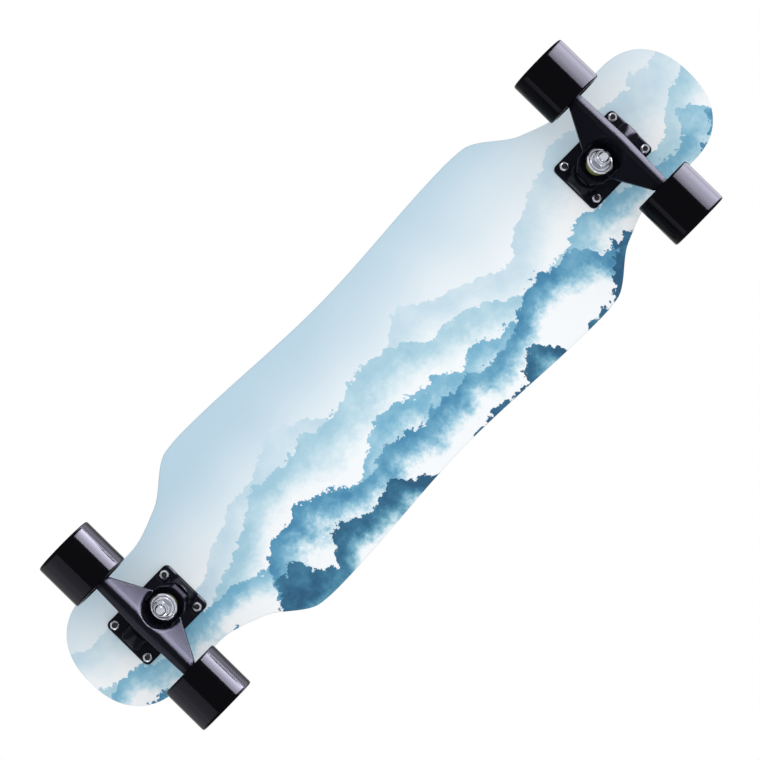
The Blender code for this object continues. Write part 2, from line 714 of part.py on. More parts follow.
def hanger_mesh():
    """The hanger, in its steering line's frame: origin in the middle of its ring, X towards the pivot."""
    places = [KEEL_HALF_WIDTH, KEEL_HALF_WIDTH + SECTION_STEP]
    places += [RING_HALF_WIDTH, RING_HALF_WIDTH + SECTION_STEP]
    places += [WEB_ROOT, WEB_END, WEB_END + SECTION_STEP, HANGER_END]
    sides = [-place for place in reversed(places)] + places
    body = lofted("hanger", [[(x, y, z) for x, z in hanger_section(abs(y))] for y in sides])
    body = combined(body, "UNION", [(hanger_nose_mesh(), PIVOT_LINE)])
    floor = RING_UPPER_SEAT + RING_SEAT_DEPTH
    tall = RING_MIDDLE + TRUCK_HEIGHT
    low = RING_LOWER_SEAT - 2 * RING_SEAT_DEPTH
    hole_radius = KINGPIN_RADIUS + RING_HOLE_CLEARANCE
    squash = Matrix.Diagonal((SEAT_RADIUS + RECESS_MARGIN_X, SEAT_RADIUS + RECESS_MARGIN_Y, 1, 1))
    road_seat = cylinder("road_seat", SEAT_RADIUS, RING_UPPER_SEAT, floor + GAP, BUSHING_SIDES)
    board_seat = cylinder("board_seat", SEAT_RADIUS, low, RING_LOWER_SEAT, BUSHING_SIDES)
    bore = cylinder("bore", AXLE_HOLE_RADIUS, -HANGER_WIDTH, HANGER_WIDTH, SHAFT_SIDES)
    cuts = [
        (cylinder("recess", 1, floor, tall, RECESS_SIDES), KINGPIN_LINE @ squash),
        (road_seat, KINGPIN_LINE),
        (board_seat, KINGPIN_LINE),
        (cylinder("hole", hole_radius, 0, tall, KINGPIN_SIDES), KINGPIN_LINE),
        (bore, Matrix.Translation(AXLE_CENTRE) @ Z_TO_Y),
    ]
    mesh = combined(body, "DIFFERENCE", cuts)
    mesh.transform(STEER_LINE.inverted())
    return mesh


def wheel_mesh():
    """A urethane wheel about Y, with dished sides and two bearing pockets. One of its flats faces down."""
    tread = WHEEL_RADIUS / math.cos(math.pi / WHEEL_SIDES)
    half = WHEEL_WIDTH / 2
    pocket = BEARING_RADIUS + GAP
    outer_half = [
        (tread, half - WHEEL_EDGE),
        (WHEEL_RADIUS - WHEEL_EDGE, half),
        (WHEEL_RADIUS - WHEEL_RIM, half),
        (WHEEL_CORE_RADIUS, half - WHEEL_CORE_DEPTH),
        (pocket, BEARING_END + GAP),
        (pocket, BEARING_START - GAP),
        (BEARING_RADIUS - WHEEL_SHOULDER, BEARING_START - GAP),
    ]
    profile = outer_half + [(radius, -place) for radius, place in reversed(outer_half)]
    mesh = turned("wheel", profile, WHEEL_SIDES, start=math.pi / WHEEL_SIDES)
    mesh.transform(Z_TO_Y @ Matrix.Rotation(math.pi / 2, 4, "Z"))
    return mesh


def outer_race_mesh():
    """A bearing's outer race with its shield, about Y, on the far side of the wheel's middle."""
    inside = BEARING_RADIUS - RACE_WALL
    shield = AXLE_RADIUS + INNER_RACE_WALL + SHIELD_GAP
    profile = [
        (BEARING_RADIUS, BEARING_START),
        (BEARING_RADIUS, BEARING_END),
        (shield, BEARING_END),
        (shield, BEARING_END - SHIELD_THICKNESS),
        (inside, BEARING_END - SHIELD_THICKNESS),
        (inside, BEARING_START),
    ]
    mesh = turned("outer_race", profile, RACE_SIDES)
    mesh.transform(Z_TO_Y)
    return mesh


def inner_race_mesh():
    """A bearing's inner race with half the spacer and a speed ring, about Y, beyond the wheel's middle."""
    spacer = AXLE_RADIUS + SPACER_WALL
    race = AXLE_RADIUS + INNER_RACE_WALL
    profile = [
        (AXLE_HOLE_RADIUS, GAP / 2),
        (spacer, GAP / 2),
        (spacer, BEARING_START),
        (race, BEARING_START),
        (race, BEARING_END),
        (spacer, BEARING_END),
        (spacer, BEARING_END + SPEED_RING_THICKNESS),
        (AXLE_HOLE_RADIUS, BEARING_END + SPEED_RING_THICKNESS),
    ]
    mesh = turned("inner_race", profile, SHAFT_SIDES)
    mesh.transform(Z_TO_Y)
    return mesh


def axle_mesh():
    """The axle about Y."""
    tip = AXLE_RADIUS - AXLE_CHAMFER
    half = [(AXLE_RADIUS, AXLE_END - AXLE_CHAMFER), (tip, AXLE_END), (0, AXLE_END)]
    profile = [(radius, -place) for radius, place in reversed(half)] + half
    mesh = turned("axle", profile, SHAFT_SIDES)
    mesh.transform(Z_TO_Y)
    return mesh


def truck_meshes():
    """The meshes that both trucks share."""
    axle_nut = nut_mesh(AXLE_NUT_ACROSS, AXLE_NUT_HEIGHT, AXLE_NUT_COLLAR, AXLE_HOLE_RADIUS, SHAFT_SIDES)
    axle_nut.transform(Z_TO_Y)
    mounting = (MOUNTING_NUT_ACROSS, MOUNTING_NUT_HEIGHT, MOUNTING_NUT_COLLAR, BOLT_RADIUS + GAP)
    kingpin = (KINGPIN_NUT_ACROSS, KINGPIN_NUT_HEIGHT, KINGPIN_NUT_COLLAR, KINGPIN_HOLE_RADIUS)
    boardside = (BOARDSIDE_SEAT, RING_LOWER_SEAT, BUSHING_RADIUS, BUSHING_RADIUS)
    roadside = (RING_UPPER_SEAT, WASHER_SEAT, BUSHING_RADIUS, ROADSIDE_TIP_RADIUS)
    return {
        "baseplate": baseplate_mesh(),
        "pivot_cup": pivot_cup_mesh(),
        "kingpin": kingpin_mesh(),
        "boardside_bushing": bushing_mesh("boardside_bushing", *boardside),
        "roadside_bushing": bushing_mesh("roadside_bushing", *roadside),
        "washer": washer_mesh(),
        "kingpin_nut": nut_mesh(*kingpin, KINGPIN_SIDES),
        "bolt": bolt_mesh(),
        "mounting_nut": nut_mesh(*mounting, BOLT_SIDES),
        "hanger": hanger_mesh(),
        "axle": axle_mesh(),
        "axle_nut": axle_nut,
        "wheel": wheel_mesh(),
        "outer_race": outer_race_mesh(),
        "inner_race": inner_race_mesh(),
    }


def make_truck(word, end, meshes, finish):
    """One truck with its bolts and wheels, under an empty at the middle of its bolts."""
    truck = empty(f"{word}_truck", None, truck_matrix(end))
    line = empty(f"{word}_kingpin_line", truck, KINGPIN_LINE)
    steer = empty(f"{word}_steer_line", truck, STEER_LINE)
    axle_line = empty(f"{word}_axle_line", steer, STEER_LINE.inverted() @ Matrix.Translation(AXLE_CENTRE))

    piece(f"{word}_baseplate", meshes["baseplate"], finish["black"], truck)
    piece(f"{word}_pivot_cup", meshes["pivot_cup"], finish["cup"], truck, PIVOT_LINE)
    for part in ("kingpin", "boardside_bushing", "roadside_bushing"):
        piece(f"{word}_{part}", meshes[part], finish["urethane" if "bushing" in part else "zinc"], line)
    piece(f"{word}_roadside_washer", meshes["washer"], finish["zinc"], line)
    nut_place = Matrix.Translation((0, 0, KINGPIN_NUT_SEAT))
    piece(f"{word}_kingpin_nut", meshes["kingpin_nut"], finish["zinc"], line, nut_place)
    piece(f"{word}_hanger", meshes["hanger"], finish["black"], steer)
    piece(f"{word}_axle", meshes["axle"], finish["zinc"], axle_line)

    flip = Matrix.Rotation(math.pi, 4, "X")
    for x, y, side, place in bolt_places():
        hand = "left" if side * end > 0 else "right"
        top = Matrix.Translation((x, y, GRIP_TOP_Z - DECK_BOTTOM_Z))
        piece(f"{word}_bolt_{place}_{hand}", meshes["bolt"], finish["zinc"], truck, top)
        under = Matrix.Translation((x, y, -FLANGE_THICKNESS - GAP)) @ flip
        piece(f"{word}_bolt_nut_{place}_{hand}", meshes["mounting_nut"], finish["zinc"], truck, under)

    for side in (1, -1):
        hand = "left" if side * end > 0 else "right"
        turn = IN_PLACE if side > 0 else HALF_TURN
        middle = Matrix.Translation((0, side * WHEEL_MIDDLE, 0)) @ turn
        piece(f"{word}_wheel_{hand}", meshes["wheel"], finish["tyre"], axle_line, middle)
        for place, facing in (("outer", IN_PLACE), ("inner", HALF_TURN)):
            seat = middle @ facing
            for part, mesh in (("race", "outer_race"), ("sleeve", "inner_race")):
                name = f"{word}_bearing_{part}_{place}_{hand}"
                piece(name, meshes[mesh], finish["steel"], axle_line, seat)
        seat = turn @ Matrix.Translation((0, AXLE_NUT_SEAT, 0))
        piece(f"{word}_axle_nut_{hand}", meshes["axle_nut"], finish["zinc"], axle_line, seat)


def main():
    clear_scene()
    wood = material("printed_maple", (0.62, 0.77, 0.85), 0.45)
    grit = material("grip_tape", (0.03, 0.03, 0.03), 0.95)
    finish = {
        "black": material("black_paint", (0.02, 0.02, 0.03), 0.35, 0.0),
        "zinc": material("zinc_steel", (0.75, 0.75, 0.77), 0.25, 1.0),
        "steel": material("bearing_steel", (0.55, 0.56, 0.58), 0.3, 1.0),
        "urethane": material("bushing_urethane", (0.22, 0.24, 0.10), 0.4),
        "cup": material("cup_urethane", (0.03, 0.03, 0.03), 0.6),
        "tyre": material("wheel_urethane", (0.015, 0.015, 0.02), 0.3),
    }
    make_deck(wood, grit)
    meshes = truck_meshes()
    make_truck("front", 1, meshes, finish)
    make_truck("rear", -1, meshes, finish)


main()
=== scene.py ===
# %% [markdown]
# # A longboard, seen from straight below
# The packed CAD model is the frame: it says where each piece lies and how it moves. This script
# dresses that frame. It makes a finer piece for each CAD solid, gives it a finish, and lights the
# board as a studio would. All lengths are in metres, +X points to the nose, +Y to the rider's left
# and +Z up.

# %% Load the frame
import math

import bmesh
import bpy
import numpy as np
from mathutils import Matrix, Vector


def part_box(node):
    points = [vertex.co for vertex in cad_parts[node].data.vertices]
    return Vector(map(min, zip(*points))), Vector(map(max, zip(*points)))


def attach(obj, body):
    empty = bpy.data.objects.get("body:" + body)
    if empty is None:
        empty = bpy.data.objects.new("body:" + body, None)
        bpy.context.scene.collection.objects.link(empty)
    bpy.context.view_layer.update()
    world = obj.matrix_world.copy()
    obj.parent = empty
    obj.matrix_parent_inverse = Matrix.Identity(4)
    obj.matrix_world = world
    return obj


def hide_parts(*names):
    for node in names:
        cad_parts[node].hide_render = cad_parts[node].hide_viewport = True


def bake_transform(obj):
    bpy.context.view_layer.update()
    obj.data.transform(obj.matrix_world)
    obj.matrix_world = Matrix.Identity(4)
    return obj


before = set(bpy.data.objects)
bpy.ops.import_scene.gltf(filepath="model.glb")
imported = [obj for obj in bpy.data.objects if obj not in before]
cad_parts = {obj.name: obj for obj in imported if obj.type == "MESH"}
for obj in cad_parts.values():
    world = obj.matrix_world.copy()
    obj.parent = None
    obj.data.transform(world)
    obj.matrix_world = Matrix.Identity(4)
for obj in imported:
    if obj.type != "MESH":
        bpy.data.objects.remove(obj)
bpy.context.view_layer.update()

# %% [markdown]
# ## The camera
# The board was photographed from under its wheels with a long lens, a little off square. A camera's
# three axes are the columns of its matrix: right, up and backward. Writing them down is more exact
# than three turns.

# %% Set the camera
CAMERA_PLACE = Vector((-0.2134, 0.0518, -3.0))
CAMERA_RIGHT = Vector((0.69806, 0.71530, -0.03264)).normalized()
CAMERA_UP = Vector((0.71305, -0.69858, -0.05950)).normalized()
LENS_MM, FARTHEST_SEEN = 161.26, 50.0


def in_scene(name, data):
    """A new object in the scene, with that data."""
    made = bpy.data.objects.new(name, data)
    bpy.context.scene.collection.objects.link(made)
    return made


lens = bpy.data.cameras.new("long_lens")
lens.lens, lens.clip_end = LENS_MM, FARTHEST_SEEN
camera = in_scene("camera", lens)
backward = CAMERA_RIGHT.cross(CAMERA_UP).normalized()
axes = Matrix((CAMERA_RIGHT, backward.cross(CAMERA_RIGHT), backward)).transposed()
camera.matrix_world = Matrix.Translation(CAMERA_PLACE) @ axes.to_4x4()
bpy.context.scene.camera = camera
bpy.context.scene.view_settings.view_transform = "Standard"
print("camera looks along", [round(value, 3) for value in -backward])

# %% [markdown]
# ## Where the trucks are
# Both trucks are the same casting, so every truck piece is made once, in the truck's own frame:
# X outward to the nearer tip, Z up, the origin on the deck's underside amid the four bolts. The
# rear truck is turned half round. A turned piece is made on Z, and a line says where its Z lies.

# %% Lines of a truck
DECK_BOTTOM, DECK_THICKNESS = 0.084, 0.011
GAP = 0.0003
LEAN = math.radians(20)
SIN, COS = math.sin(LEAN), math.cos(LEAN)
KINGPIN_FOOT, KINGPIN_END = -0.0297, 0.0660
RING_AT, PIVOT_AT = 0.0382, 0.0430
RING = Vector((KINGPIN_FOOT + SIN * RING_AT, 0, -COS * RING_AT))
AXLE = Vector((0.0114, 0, -0.054))
PIVOT = RING + PIVOT_AT * Vector((COS, 0, SIN))

IN_PLACE = Matrix.Identity(4)
FLIP = Matrix.Rotation(math.pi, 4, "X")


def at(x, y, z):
    """A plain move."""
    return Matrix.Translation((x, y, z))


TRUCKS = {
    "front": at(0.2765, 0, DECK_BOTTOM),
    "rear": at(-0.3055, 0, DECK_BOTTOM) @ Matrix.Rotation(math.pi, 4, "Z"),
}
KINGPIN_LINE = at(KINGPIN_FOOT, 0, 0) @ Matrix.Rotation(math.pi - LEAN, 4, "Y")
PIVOT_LINE = at(*PIVOT) @ Matrix.Rotation(math.pi / 2 - LEAN, 4, "Y")
AXLE_LINE = at(*AXLE) @ Matrix.Rotation(-math.pi / 2, 4, "X")


def axle_ends(truck):
    """A truck's two hands, each with the line of the axle from its middle outward."""
    for side in (1, -1):
        hand = "left" if (side > 0) == (truck == "front") else "right"
        yield hand, TRUCKS[truck] @ AXLE_LINE @ (IN_PLACE if side > 0 else FLIP)


for truck, place in TRUCKS.items():
    end = place @ KINGPIN_LINE @ Vector((0, 0, KINGPIN_END))
    box_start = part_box(f"{truck}_kingpin")[0].z
    print(truck, "kingpin ends at", [round(v, 4) for v in end], "its box at", round(box_start, 4))

# %% [markdown]
# ## Node helpers
# Shader trees and Geometry Nodes trees are wired in the same way. `put` places a node and fills or
# links its inputs, and gives back one output as a `Value`. A sign between Values adds a Math node,
# so a rule in a tree reads as it would on paper.

# %% Wire nodes
def put(tree, kind, inputs=(), output=0, **settings):
    """A node of that kind. inputs maps its sockets, by name or number, to numbers or Values."""
    node = tree.nodes.new(kind)
    for word, setting in settings.items():
        setattr(node, word, setting)
    for socket, given in dict(inputs).items():
        if isinstance(given, Value):
            given.to(node.inputs[socket])
        else:
            node.inputs[socket].default_value = given
    return Value(node, output) if len(node.outputs) else None


class Value:
    """A node's output that can be calculated with."""

    def __init__(self, node, output=0):
        self.node, self.socket = node, node.outputs[output]

    def to(self, socket):
        """Links this output to an input."""
        self.node.id_data.links.new(self.socket, socket)

    def other(self, output):
        """Another output of the same node."""
        return Value(self.node, output)

    def math(self, operation, *others):
        inputs = dict(enumerate((self, *others)))
        return put(self.node.id_data, "ShaderNodeMath", inputs, operation=operation)

    def __add__(self, other):
        return self.math("ADD", other)

    def __sub__(self, other):
        return self.math("SUBTRACT", other)

    def __rsub__(self, other):
        inputs = {0: other, 1: self}
        return put(self.node.id_data, "ShaderNodeMath", inputs, operation="SUBTRACT")

    def __mul__(self, other):
        return self.math("MULTIPLY", other)

    def __truediv__(self, other):
        return self.math("DIVIDE", other)

    def __pow__(self, other):
        return self.math("POWER", other)

    def __abs__(self):
        return self.math("ABSOLUTE")

    def ramp(self, low, high, start=0.0, end=1.0):
        """This value's place between low and high, eased, from start to end."""
        inputs = {"Value": self, "From Min": low, "From Max": high, "To Min": start, "To Max": end}
        tree = self.node.id_data
        return put(tree, "ShaderNodeMapRange", inputs, interpolation_type="SMOOTHSTEP")

    def mix(self, a, b):
        """Colour a turned into colour b by this share. Sockets 6 and 7 are the node's colours."""
        inputs = {0: self, 6: a, 7: b}
        return put(self.node.id_data, "ShaderNodeMix", inputs, output=2, data_type="RGBA")


print("a Value can give", [word for word in vars(Value) if not word.startswith("_")])


# %% Trees and colours
def xyz(tree, vector):
    """A vector's X, Y and Z."""
    x = put(tree, "ShaderNodeSeparateXYZ", {0: vector})
    return x, x.other("Y"), x.other("Z")


SOCKETS = {float: "Float", int: "Int", tuple: "Color"}


def new_tree(kind, name, inputs, outputs):
    """An empty tree with named sockets: the tree, its given Values and its end's sockets. An input
    is the number or colour that it starts from, or else the word for its kind of socket."""
    tree = bpy.data.node_groups.new(name, kind)
    for word, value in inputs.items():
        socket = SOCKETS.get(type(value), value)
        made = tree.interface.new_socket(word, in_out="INPUT", socket_type="NodeSocket" + socket)
        if socket != value:
            made.default_value = value
    for word, socket in outputs.items():
        tree.interface.new_socket(word, in_out="OUTPUT", socket_type="NodeSocket" + socket)
    start = tree.nodes.new("NodeGroupInput")
    given = {word: Value(start, word) for word in inputs}
    return tree, given, tree.nodes.new("NodeGroupOutput").inputs


def tint(red, green, blue):
    """A colour as a picture editor gives it, 0 to 255, made linear for Blender."""
    values = [value / 255 for value in (red, green, blue)]
    return (*[v / 12.92 if v <= 0.04045 else ((v + 0.055) / 1.055) ** 2.4 for v in values], 1.0)


print("mid grey is", [round(value, 3) for value in tint(128, 128, 128)])

# %% [markdown]
# ## Finishes
# Each material starts from one Principled shader. Two effects come back in several finishes, so
# each is a node group: `fine_grain` breaks up a surface with small noise, and `lathe_marks` draws
# the rings that a lathe or a mould leaves. The rings follow an attribute, `along`, that every
# turned piece carries.

# %% Shared effects
def own_place(tree):
    """Where a point lies on the piece."""
    return put(tree, "ShaderNodeTexCoord", output="Object")


def noise(tree, place, scale, detail, roughness=0.5):
    """Noise from 0 to 1."""
    inputs = {"Vector": place, "Scale": scale, "Detail": detail, "Roughness": roughness}
    return put(tree, "ShaderNodeTexNoise", inputs)


def fine_grain_group():
    """Noise as a multiplier round 1 and as a height."""
    sizes = {"Scale": 400.0, "Spread": 0.2}
    outputs = {"Factor": "Float", "Height": "Float"}
    tree, given, out = new_tree("ShaderNodeTree", "fine_grain", sizes, outputs)
    grain = noise(tree, own_place(tree), given["Scale"], 4.0)
    ((grain - 0.5) * given["Spread"]).math("MULTIPLY_ADD", 2.0, 1.0).to(out["Factor"])
    grain.to(out["Height"])
    return tree


def lathe_marks_group():
    """Rings across the way a piece was turned, as a height."""
    sizes = {"Rings per metre": 3000.0}
    tree, given, out = new_tree("ShaderNodeTree", "lathe_marks", sizes, {"Height": "Float"})
    along = put(tree, "ShaderNodeAttribute", output="Fac", attribute_name="along")
    turns = {"W": along * given["Rings per metre"], "Scale": 1.0, "Detail": 2.0}
    put(tree, "ShaderNodeTexNoise", turns, noise_dimensions="1D").to(out["Height"])
    return tree


FINE_GRAIN = fine_grain_group()
LATHE_MARKS = lathe_marks_group()
print("groups:", FINE_GRAIN.name, LATHE_MARKS.name)


# %% Makers of finishes
def finish(name, colour, roughness, metallic=0.0, specular=0.5, coat=0.0):
    """A material, its tree and its Principled shader's inputs."""
    made = bpy.data.materials.new(name)
    made.use_nodes = True
    inputs = made.node_tree.nodes["Principled BSDF"].inputs
    inputs["Base Color"].default_value = colour
    inputs["Roughness"].default_value = roughness
    inputs["Metallic"].default_value = metallic
    inputs["Specular IOR Level"].default_value = specular
    inputs["Coat Weight"].default_value = coat
    return made, made.node_tree, inputs


def grained(tree, shader, scale, spread, roughness):
    """Grain in the gloss. It gives the grain's factor, with its height as its other output."""
    sizes = {"Scale": scale, "Spread": spread}
    factor = put(tree, "ShaderNodeGroup", sizes, output="Factor", node_tree=FINE_GRAIN)
    (factor * roughness).to(shader["Roughness"])
    return factor


def emboss(tree, shader, height, depth):
    """Raises the surface by a height from 0 to 1 times a depth in metres."""
    put(tree, "ShaderNodeBump", {"Height": height, "Distance": depth}).to(shader["Normal"])


def pointiness(tree):
    """How far a point stands out: under 0.5 in a hollow, over it on an edge."""
    return put(tree, "ShaderNodeNewGeometry", output="Pointiness")


def turned_finish(name, colour, roughness, rings, depth, painted_groove_shade=1.0, **look):
    """Grain in tone and gloss, and lathe rings. Grooves get painted shade: painted_groove_shade is
    the tone they keep.
    """
    made, tree, shader = finish(name, colour, roughness, **look)
    tone = grained(tree, shader, 300.0, 0.2, roughness)
    # painted shade: grooves, found by pointiness, keep only part of the tone
    if painted_groove_shade < 1.0:
        tone = tone * pointiness(tree).ramp(0.43, 0.51, painted_groove_shade, 1.0)
    toned = put(tree, "ShaderNodeVectorMath", {0: colour[:3], "Scale": tone}, operation="SCALE")
    toned.to(shader["Base Color"])
    marks = put(tree, "ShaderNodeGroup", {"Rings per metre": rings}, node_tree=LATHE_MARKS)
    emboss(tree, shader, marks, depth)
    return made


print("materials before the first finish:", len(bpy.data.materials))

# %% Metals, paint and urethane
turned_looks = {
    "wheel_urethane": ("glossy_urethane", (5, 5, 9), 0.10, 2500, 0.000002, dict(specular=0.03)),
    "bushing_urethane": ("olive_urethane", (130, 135, 74), 0.4, 900, 0.00002, dict(specular=0.3)),
    "cup_urethane": ("cup_polyurethane", (30, 30, 34), 0.5, 900, 0.00002, dict(specular=0.2)),
    # bright zinc gets painted shade in its grooves
    "zinc_steel": (
        "bright_zinc", (190, 192, 201), 0.15, 6000, 0.000012, dict(metallic=1.0, painted_groove_shade=0.12)
    ),
    "bearing_steel": ("ground_steel", (172, 174, 182), 0.26, 4000, 0.00001, dict(metallic=1.0)),
    "bolt_black": ("black_oxide", (24, 24, 28), 0.4, 4000, 0.00001, dict(specular=0.3)),
    # the nylon ring is near black so that the nut's inner groove reads dark: painted shade
    "nylon": ("nylon", (20, 21, 30), 0.5, 2000, 0.00001, dict(specular=0.2)),
    # black urethane for the boardside bushing: partly a second urethane, partly painted shade where
    # it sits in the ring's recess
    "black_urethane_and_shade": ("hard_black_urethane", (16, 16, 19), 0.35, 900, 0.00002, dict(specular=0.1)),
}
FINISHES = {}
for slot, (name, colour, roughness, rings, depth, look) in turned_looks.items():
    FINISHES[slot] = turned_finish(name, tint(*colour), roughness, rings, depth, **look)


def cast_paint():
    """Satin black paint on a casting: a faint orange peel, and edges a little lighter, partly as
    wear and partly as a painted highlight.
    """
    base, edge_wear_and_highlight, roughness = tint(12, 13, 21), tint(58, 60, 76), 0.28
    made, tree, shader = finish("satin_black_paint", base, roughness, specular=0.03)
    # edge wear and painted highlight: the most pointed edges go half way to a lighter lavender
    (pointiness(tree).ramp(0.54, 0.62) * 0.5).mix(base, edge_wear_and_highlight).to(shader["Base Color"])
    peel = grained(tree, shader, 900.0, 0.3, roughness)
    emboss(tree, shader, peel.other("Height"), 0.00002)
    return made


FINISHES["truck_black"] = cast_paint()
print("finishes:", len(bpy.data.materials))

# %% [markdown]
# ## Turned pieces
# Wheels, bearings, bushings, pins, washers and nuts are round, so one lathe makes them all. A piece
# is a list of corners (radius, height, fillet) from its hidden side round to where it began. Each
# corner becomes a small arc, as no real edge is quite sharp. A nut is turned too: `across` holds
# every point inside a hexagon, and where a cone meets that hexagon the curved chamfer of a real nut
# appears.

# %% Outlines and skins
def rounded(corners, closed, longest, steps=4):
    """The corners' outline with an arc at each fillet, and no gap wider than longest."""
    points = [Vector(corner[:2]) for corner in corners]
    fillets = [corner[2] if len(corner) > 2 else 0.0 for corner in corners]
    line = []
    for i, (point, fillet) in enumerate(zip(points, fillets)):
        if fillet:
            before, after = points[i - 1] - point, points[(i + 1) % len(points)] - point
            reach = fillet / math.tan(before.angle(after) / 2)
            start = point + before.normalized() * min(reach, 0.49 * before.length)
            end = point + after.normalized() * min(reach, 0.49 * after.length)
            shares = [step / steps for step in range(steps + 1)]
            line += [start * (1 - t) ** 2 + point * 2 * t * (1 - t) + end * t**2 for t in shares]
        else:
            line.append(point)
    ends = line[1:] + line[:1] if closed else line[1:]
    fine = []
    for start, end in zip(line, ends):
        count = max(1, math.ceil((end - start).length / longest)) if longest else 1
        fine += [start.lerp(end, step / count) for step in range(count)]
    return fine if closed else fine + [line[-1]]


def plain_mesh(name, points, faces=()):
    """A mesh from points, and faces that name them by number."""
    mesh = bpy.data.meshes.new(name)
    mesh.from_pydata([tuple(point) for point in points], [], faces)
    return mesh


def skin(name, loops, closed=False):
    """A mesh across loops of points, its last loop joined to its first if it is closed."""
    count = len(loops[0])
    faces = []
    for row in range(len(loops) if closed else len(loops) - 1):
        below, above = row * count, (row + 1) % len(loops) * count
        for i in range(count):
            after = (i + 1) % count
            faces.append((below + i, below + after, above + after, above + i))
    return plain_mesh(name, [point for loop in loops for point in loop], faces)


def cleaned(mesh):
    """The mesh with its doubles merged, its poles closed and its faces turned out."""
    work = bmesh.new()
    work.from_mesh(mesh)
    bmesh.ops.remove_doubles(work, verts=work.verts, dist=1e-7)
    bmesh.ops.dissolve_degenerate(work, edges=work.edges, dist=1e-8)
    bmesh.ops.recalc_face_normals(work, faces=work.faces)
    work.to_mesh(mesh)
    work.free()
    return mesh


square = [(0, 0), (1, 0), (1, 1), (0, 1)]
print("a square in half steps has", len(rounded(square, True, 0.5)), "points")


# %% The lathe
def hexagon_reach(angle, across):
    """How far a hexagon reaches from its middle at an angle."""
    sixth = math.pi / 3
    return across / 2 / math.cos((angle + sixth / 2) % sixth - sixth / 2)


def turned(name, corners, sides=64, across=None, longest=None):
    """A closed piece turned about Z, with the length along its outline as an attribute."""
    closed = min(corner[0] for corner in corners) > 0
    line = rounded(corners, closed, longest)
    angles = [2 * math.pi * side / sides for side in range(sides)]
    limits = [hexagon_reach(angle, across) if across else 1.0 for angle in angles]
    loops = []
    for radius, height in line:
        reaches = [min(radius, limit) for limit in limits]
        loops.append([(r * math.cos(a), r * math.sin(a), height) for a, r in zip(angles, reaches)])
    mesh = skin(name, loops, closed)
    steps = [(b - a).length for a, b in zip(line, line[1:])]
    lengths = np.concatenate(([0.0], np.cumsum(steps)))
    along = mesh.attributes.new("along", "FLOAT", "POINT")
    along.data.foreach_set("value", np.repeat(lengths, sides).astype(np.float32))
    return cleaned(mesh)


print("a hexagon 10 mm across reaches", round(hexagon_reach(math.pi / 6, 10), 2), "mm to a corner")


# %% Join and place
def joined(name, *parts):
    """One mesh from (mesh, matrix, material) parts."""
    work = bmesh.new()
    slots = []
    for mesh, matrix, material in parts:
        if material not in slots:
            slots.append(material)
        first_point, first_face = len(work.verts), len(work.faces)
        work.from_mesh(mesh)
        work.verts.ensure_lookup_table()
        work.faces.ensure_lookup_table()
        bmesh.ops.transform(work, matrix=matrix, verts=work.verts[first_point:])
        for face in work.faces[first_face:]:
            face.material_index = slots.index(material)
    made = bpy.data.meshes.new(name)
    work.to_mesh(made)
    work.free()
    for material in slots:
        made.materials.append(material)
    return made


SHARP = math.radians(38)
made_pieces = []


def place_piece(name, mesh, matrix, slot, body, *nodes):
    """A finished piece: its place in its mesh, smooth up to sharp edges, for its CAD nodes."""
    mesh = mesh.copy()
    mesh.transform(matrix)
    if not mesh.materials:
        mesh.materials.append(FINISHES[slot])
    mesh.shade_smooth()
    mesh.set_sharp_from_angle(angle=SHARP)
    piece = in_scene(name, mesh)
    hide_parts(*nodes)
    if body:
        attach(piece, body)
    made_pieces.append(piece)
    return piece


print("an edge is sharp past", round(math.degrees(SHARP)), "degrees")

# %% [markdown]
# ## Geometry Nodes for what repeats
# Bolts and nuts repeat on the pattern of holes, balls repeat round a bearing, and a thread is one
# ridge that climbs a shaft. Each is a small tree with named sizes. The result is baked to a plain
# mesh, because a live tree's instances would be lost in the export.

# %% Run a tree
def baked(thing):
    """The plain mesh of an object with its modifiers done. The object goes."""
    graph = bpy.context.evaluated_depsgraph_get()
    made = bpy.data.meshes.new_from_object(thing.evaluated_get(graph), depsgraph=graph)
    bpy.data.objects.remove(thing)
    made.materials.clear()
    return made


def grown(tree, name, start, sizes):
    """The plain mesh that a tree makes from a start mesh, a material and its sizes."""
    carrier = in_scene(name, start)
    step = carrier.modifiers.new("grow", "NODES")
    step.node_group = tree
    sockets = {s.name: s.identifier for s in tree.interface.items_tree if s.in_out == "INPUT"}
    for word, value in sizes.items():
        step[sockets[word]] = value
    made = baked(carrier)
    made.materials.append(sizes["Material"])
    made.polygons.foreach_set("material_index", [0] * len(made.polygons))
    return made


def growing_tree(name, sizes):
    """A new tree that turns a start mesh into another, of its sizes and a material."""
    inputs = {"Geometry": "Geometry", **sizes, "Material": "Material"}
    return new_tree("GeometryNodeTree", name, inputs, {"Geometry": "Geometry"})


def finished_tree(tree, given, geometry, out):
    """The tree with its last two steps: real meshes in place of instances, and the material."""
    real = put(tree, "GeometryNodeRealizeInstances", {"Geometry": geometry})
    inputs = {"Geometry": real, "Material": given["Material"]}
    put(tree, "GeometryNodeSetMaterial", inputs).to(out["Geometry"])
    return tree


# %% Parts on a pattern of points
def hardware_tree():
    """A part on every point, spun about Z by chance, as fasteners are once tightened."""
    tree, given, out = growing_tree("hardware_on_points", {"Part": "Object", "Seed": 1})
    part = put(tree, "GeometryNodeObjectInfo", {"Object": given["Part"]}, output="Geometry")
    chance = {2: 0.0, 3: 2 * math.pi, "Seed": given["Seed"]}
    spin = put(tree, "FunctionNodeRandomValue", chance, output=1)
    turns = put(tree, "ShaderNodeCombineXYZ", {"Z": spin})
    inputs = {"Points": given["Geometry"], "Instance": part, "Rotation": turns}
    placed = put(tree, "GeometryNodeInstanceOnPoints", inputs)
    return finished_tree(tree, given, placed, out)


HARDWARE = hardware_tree()


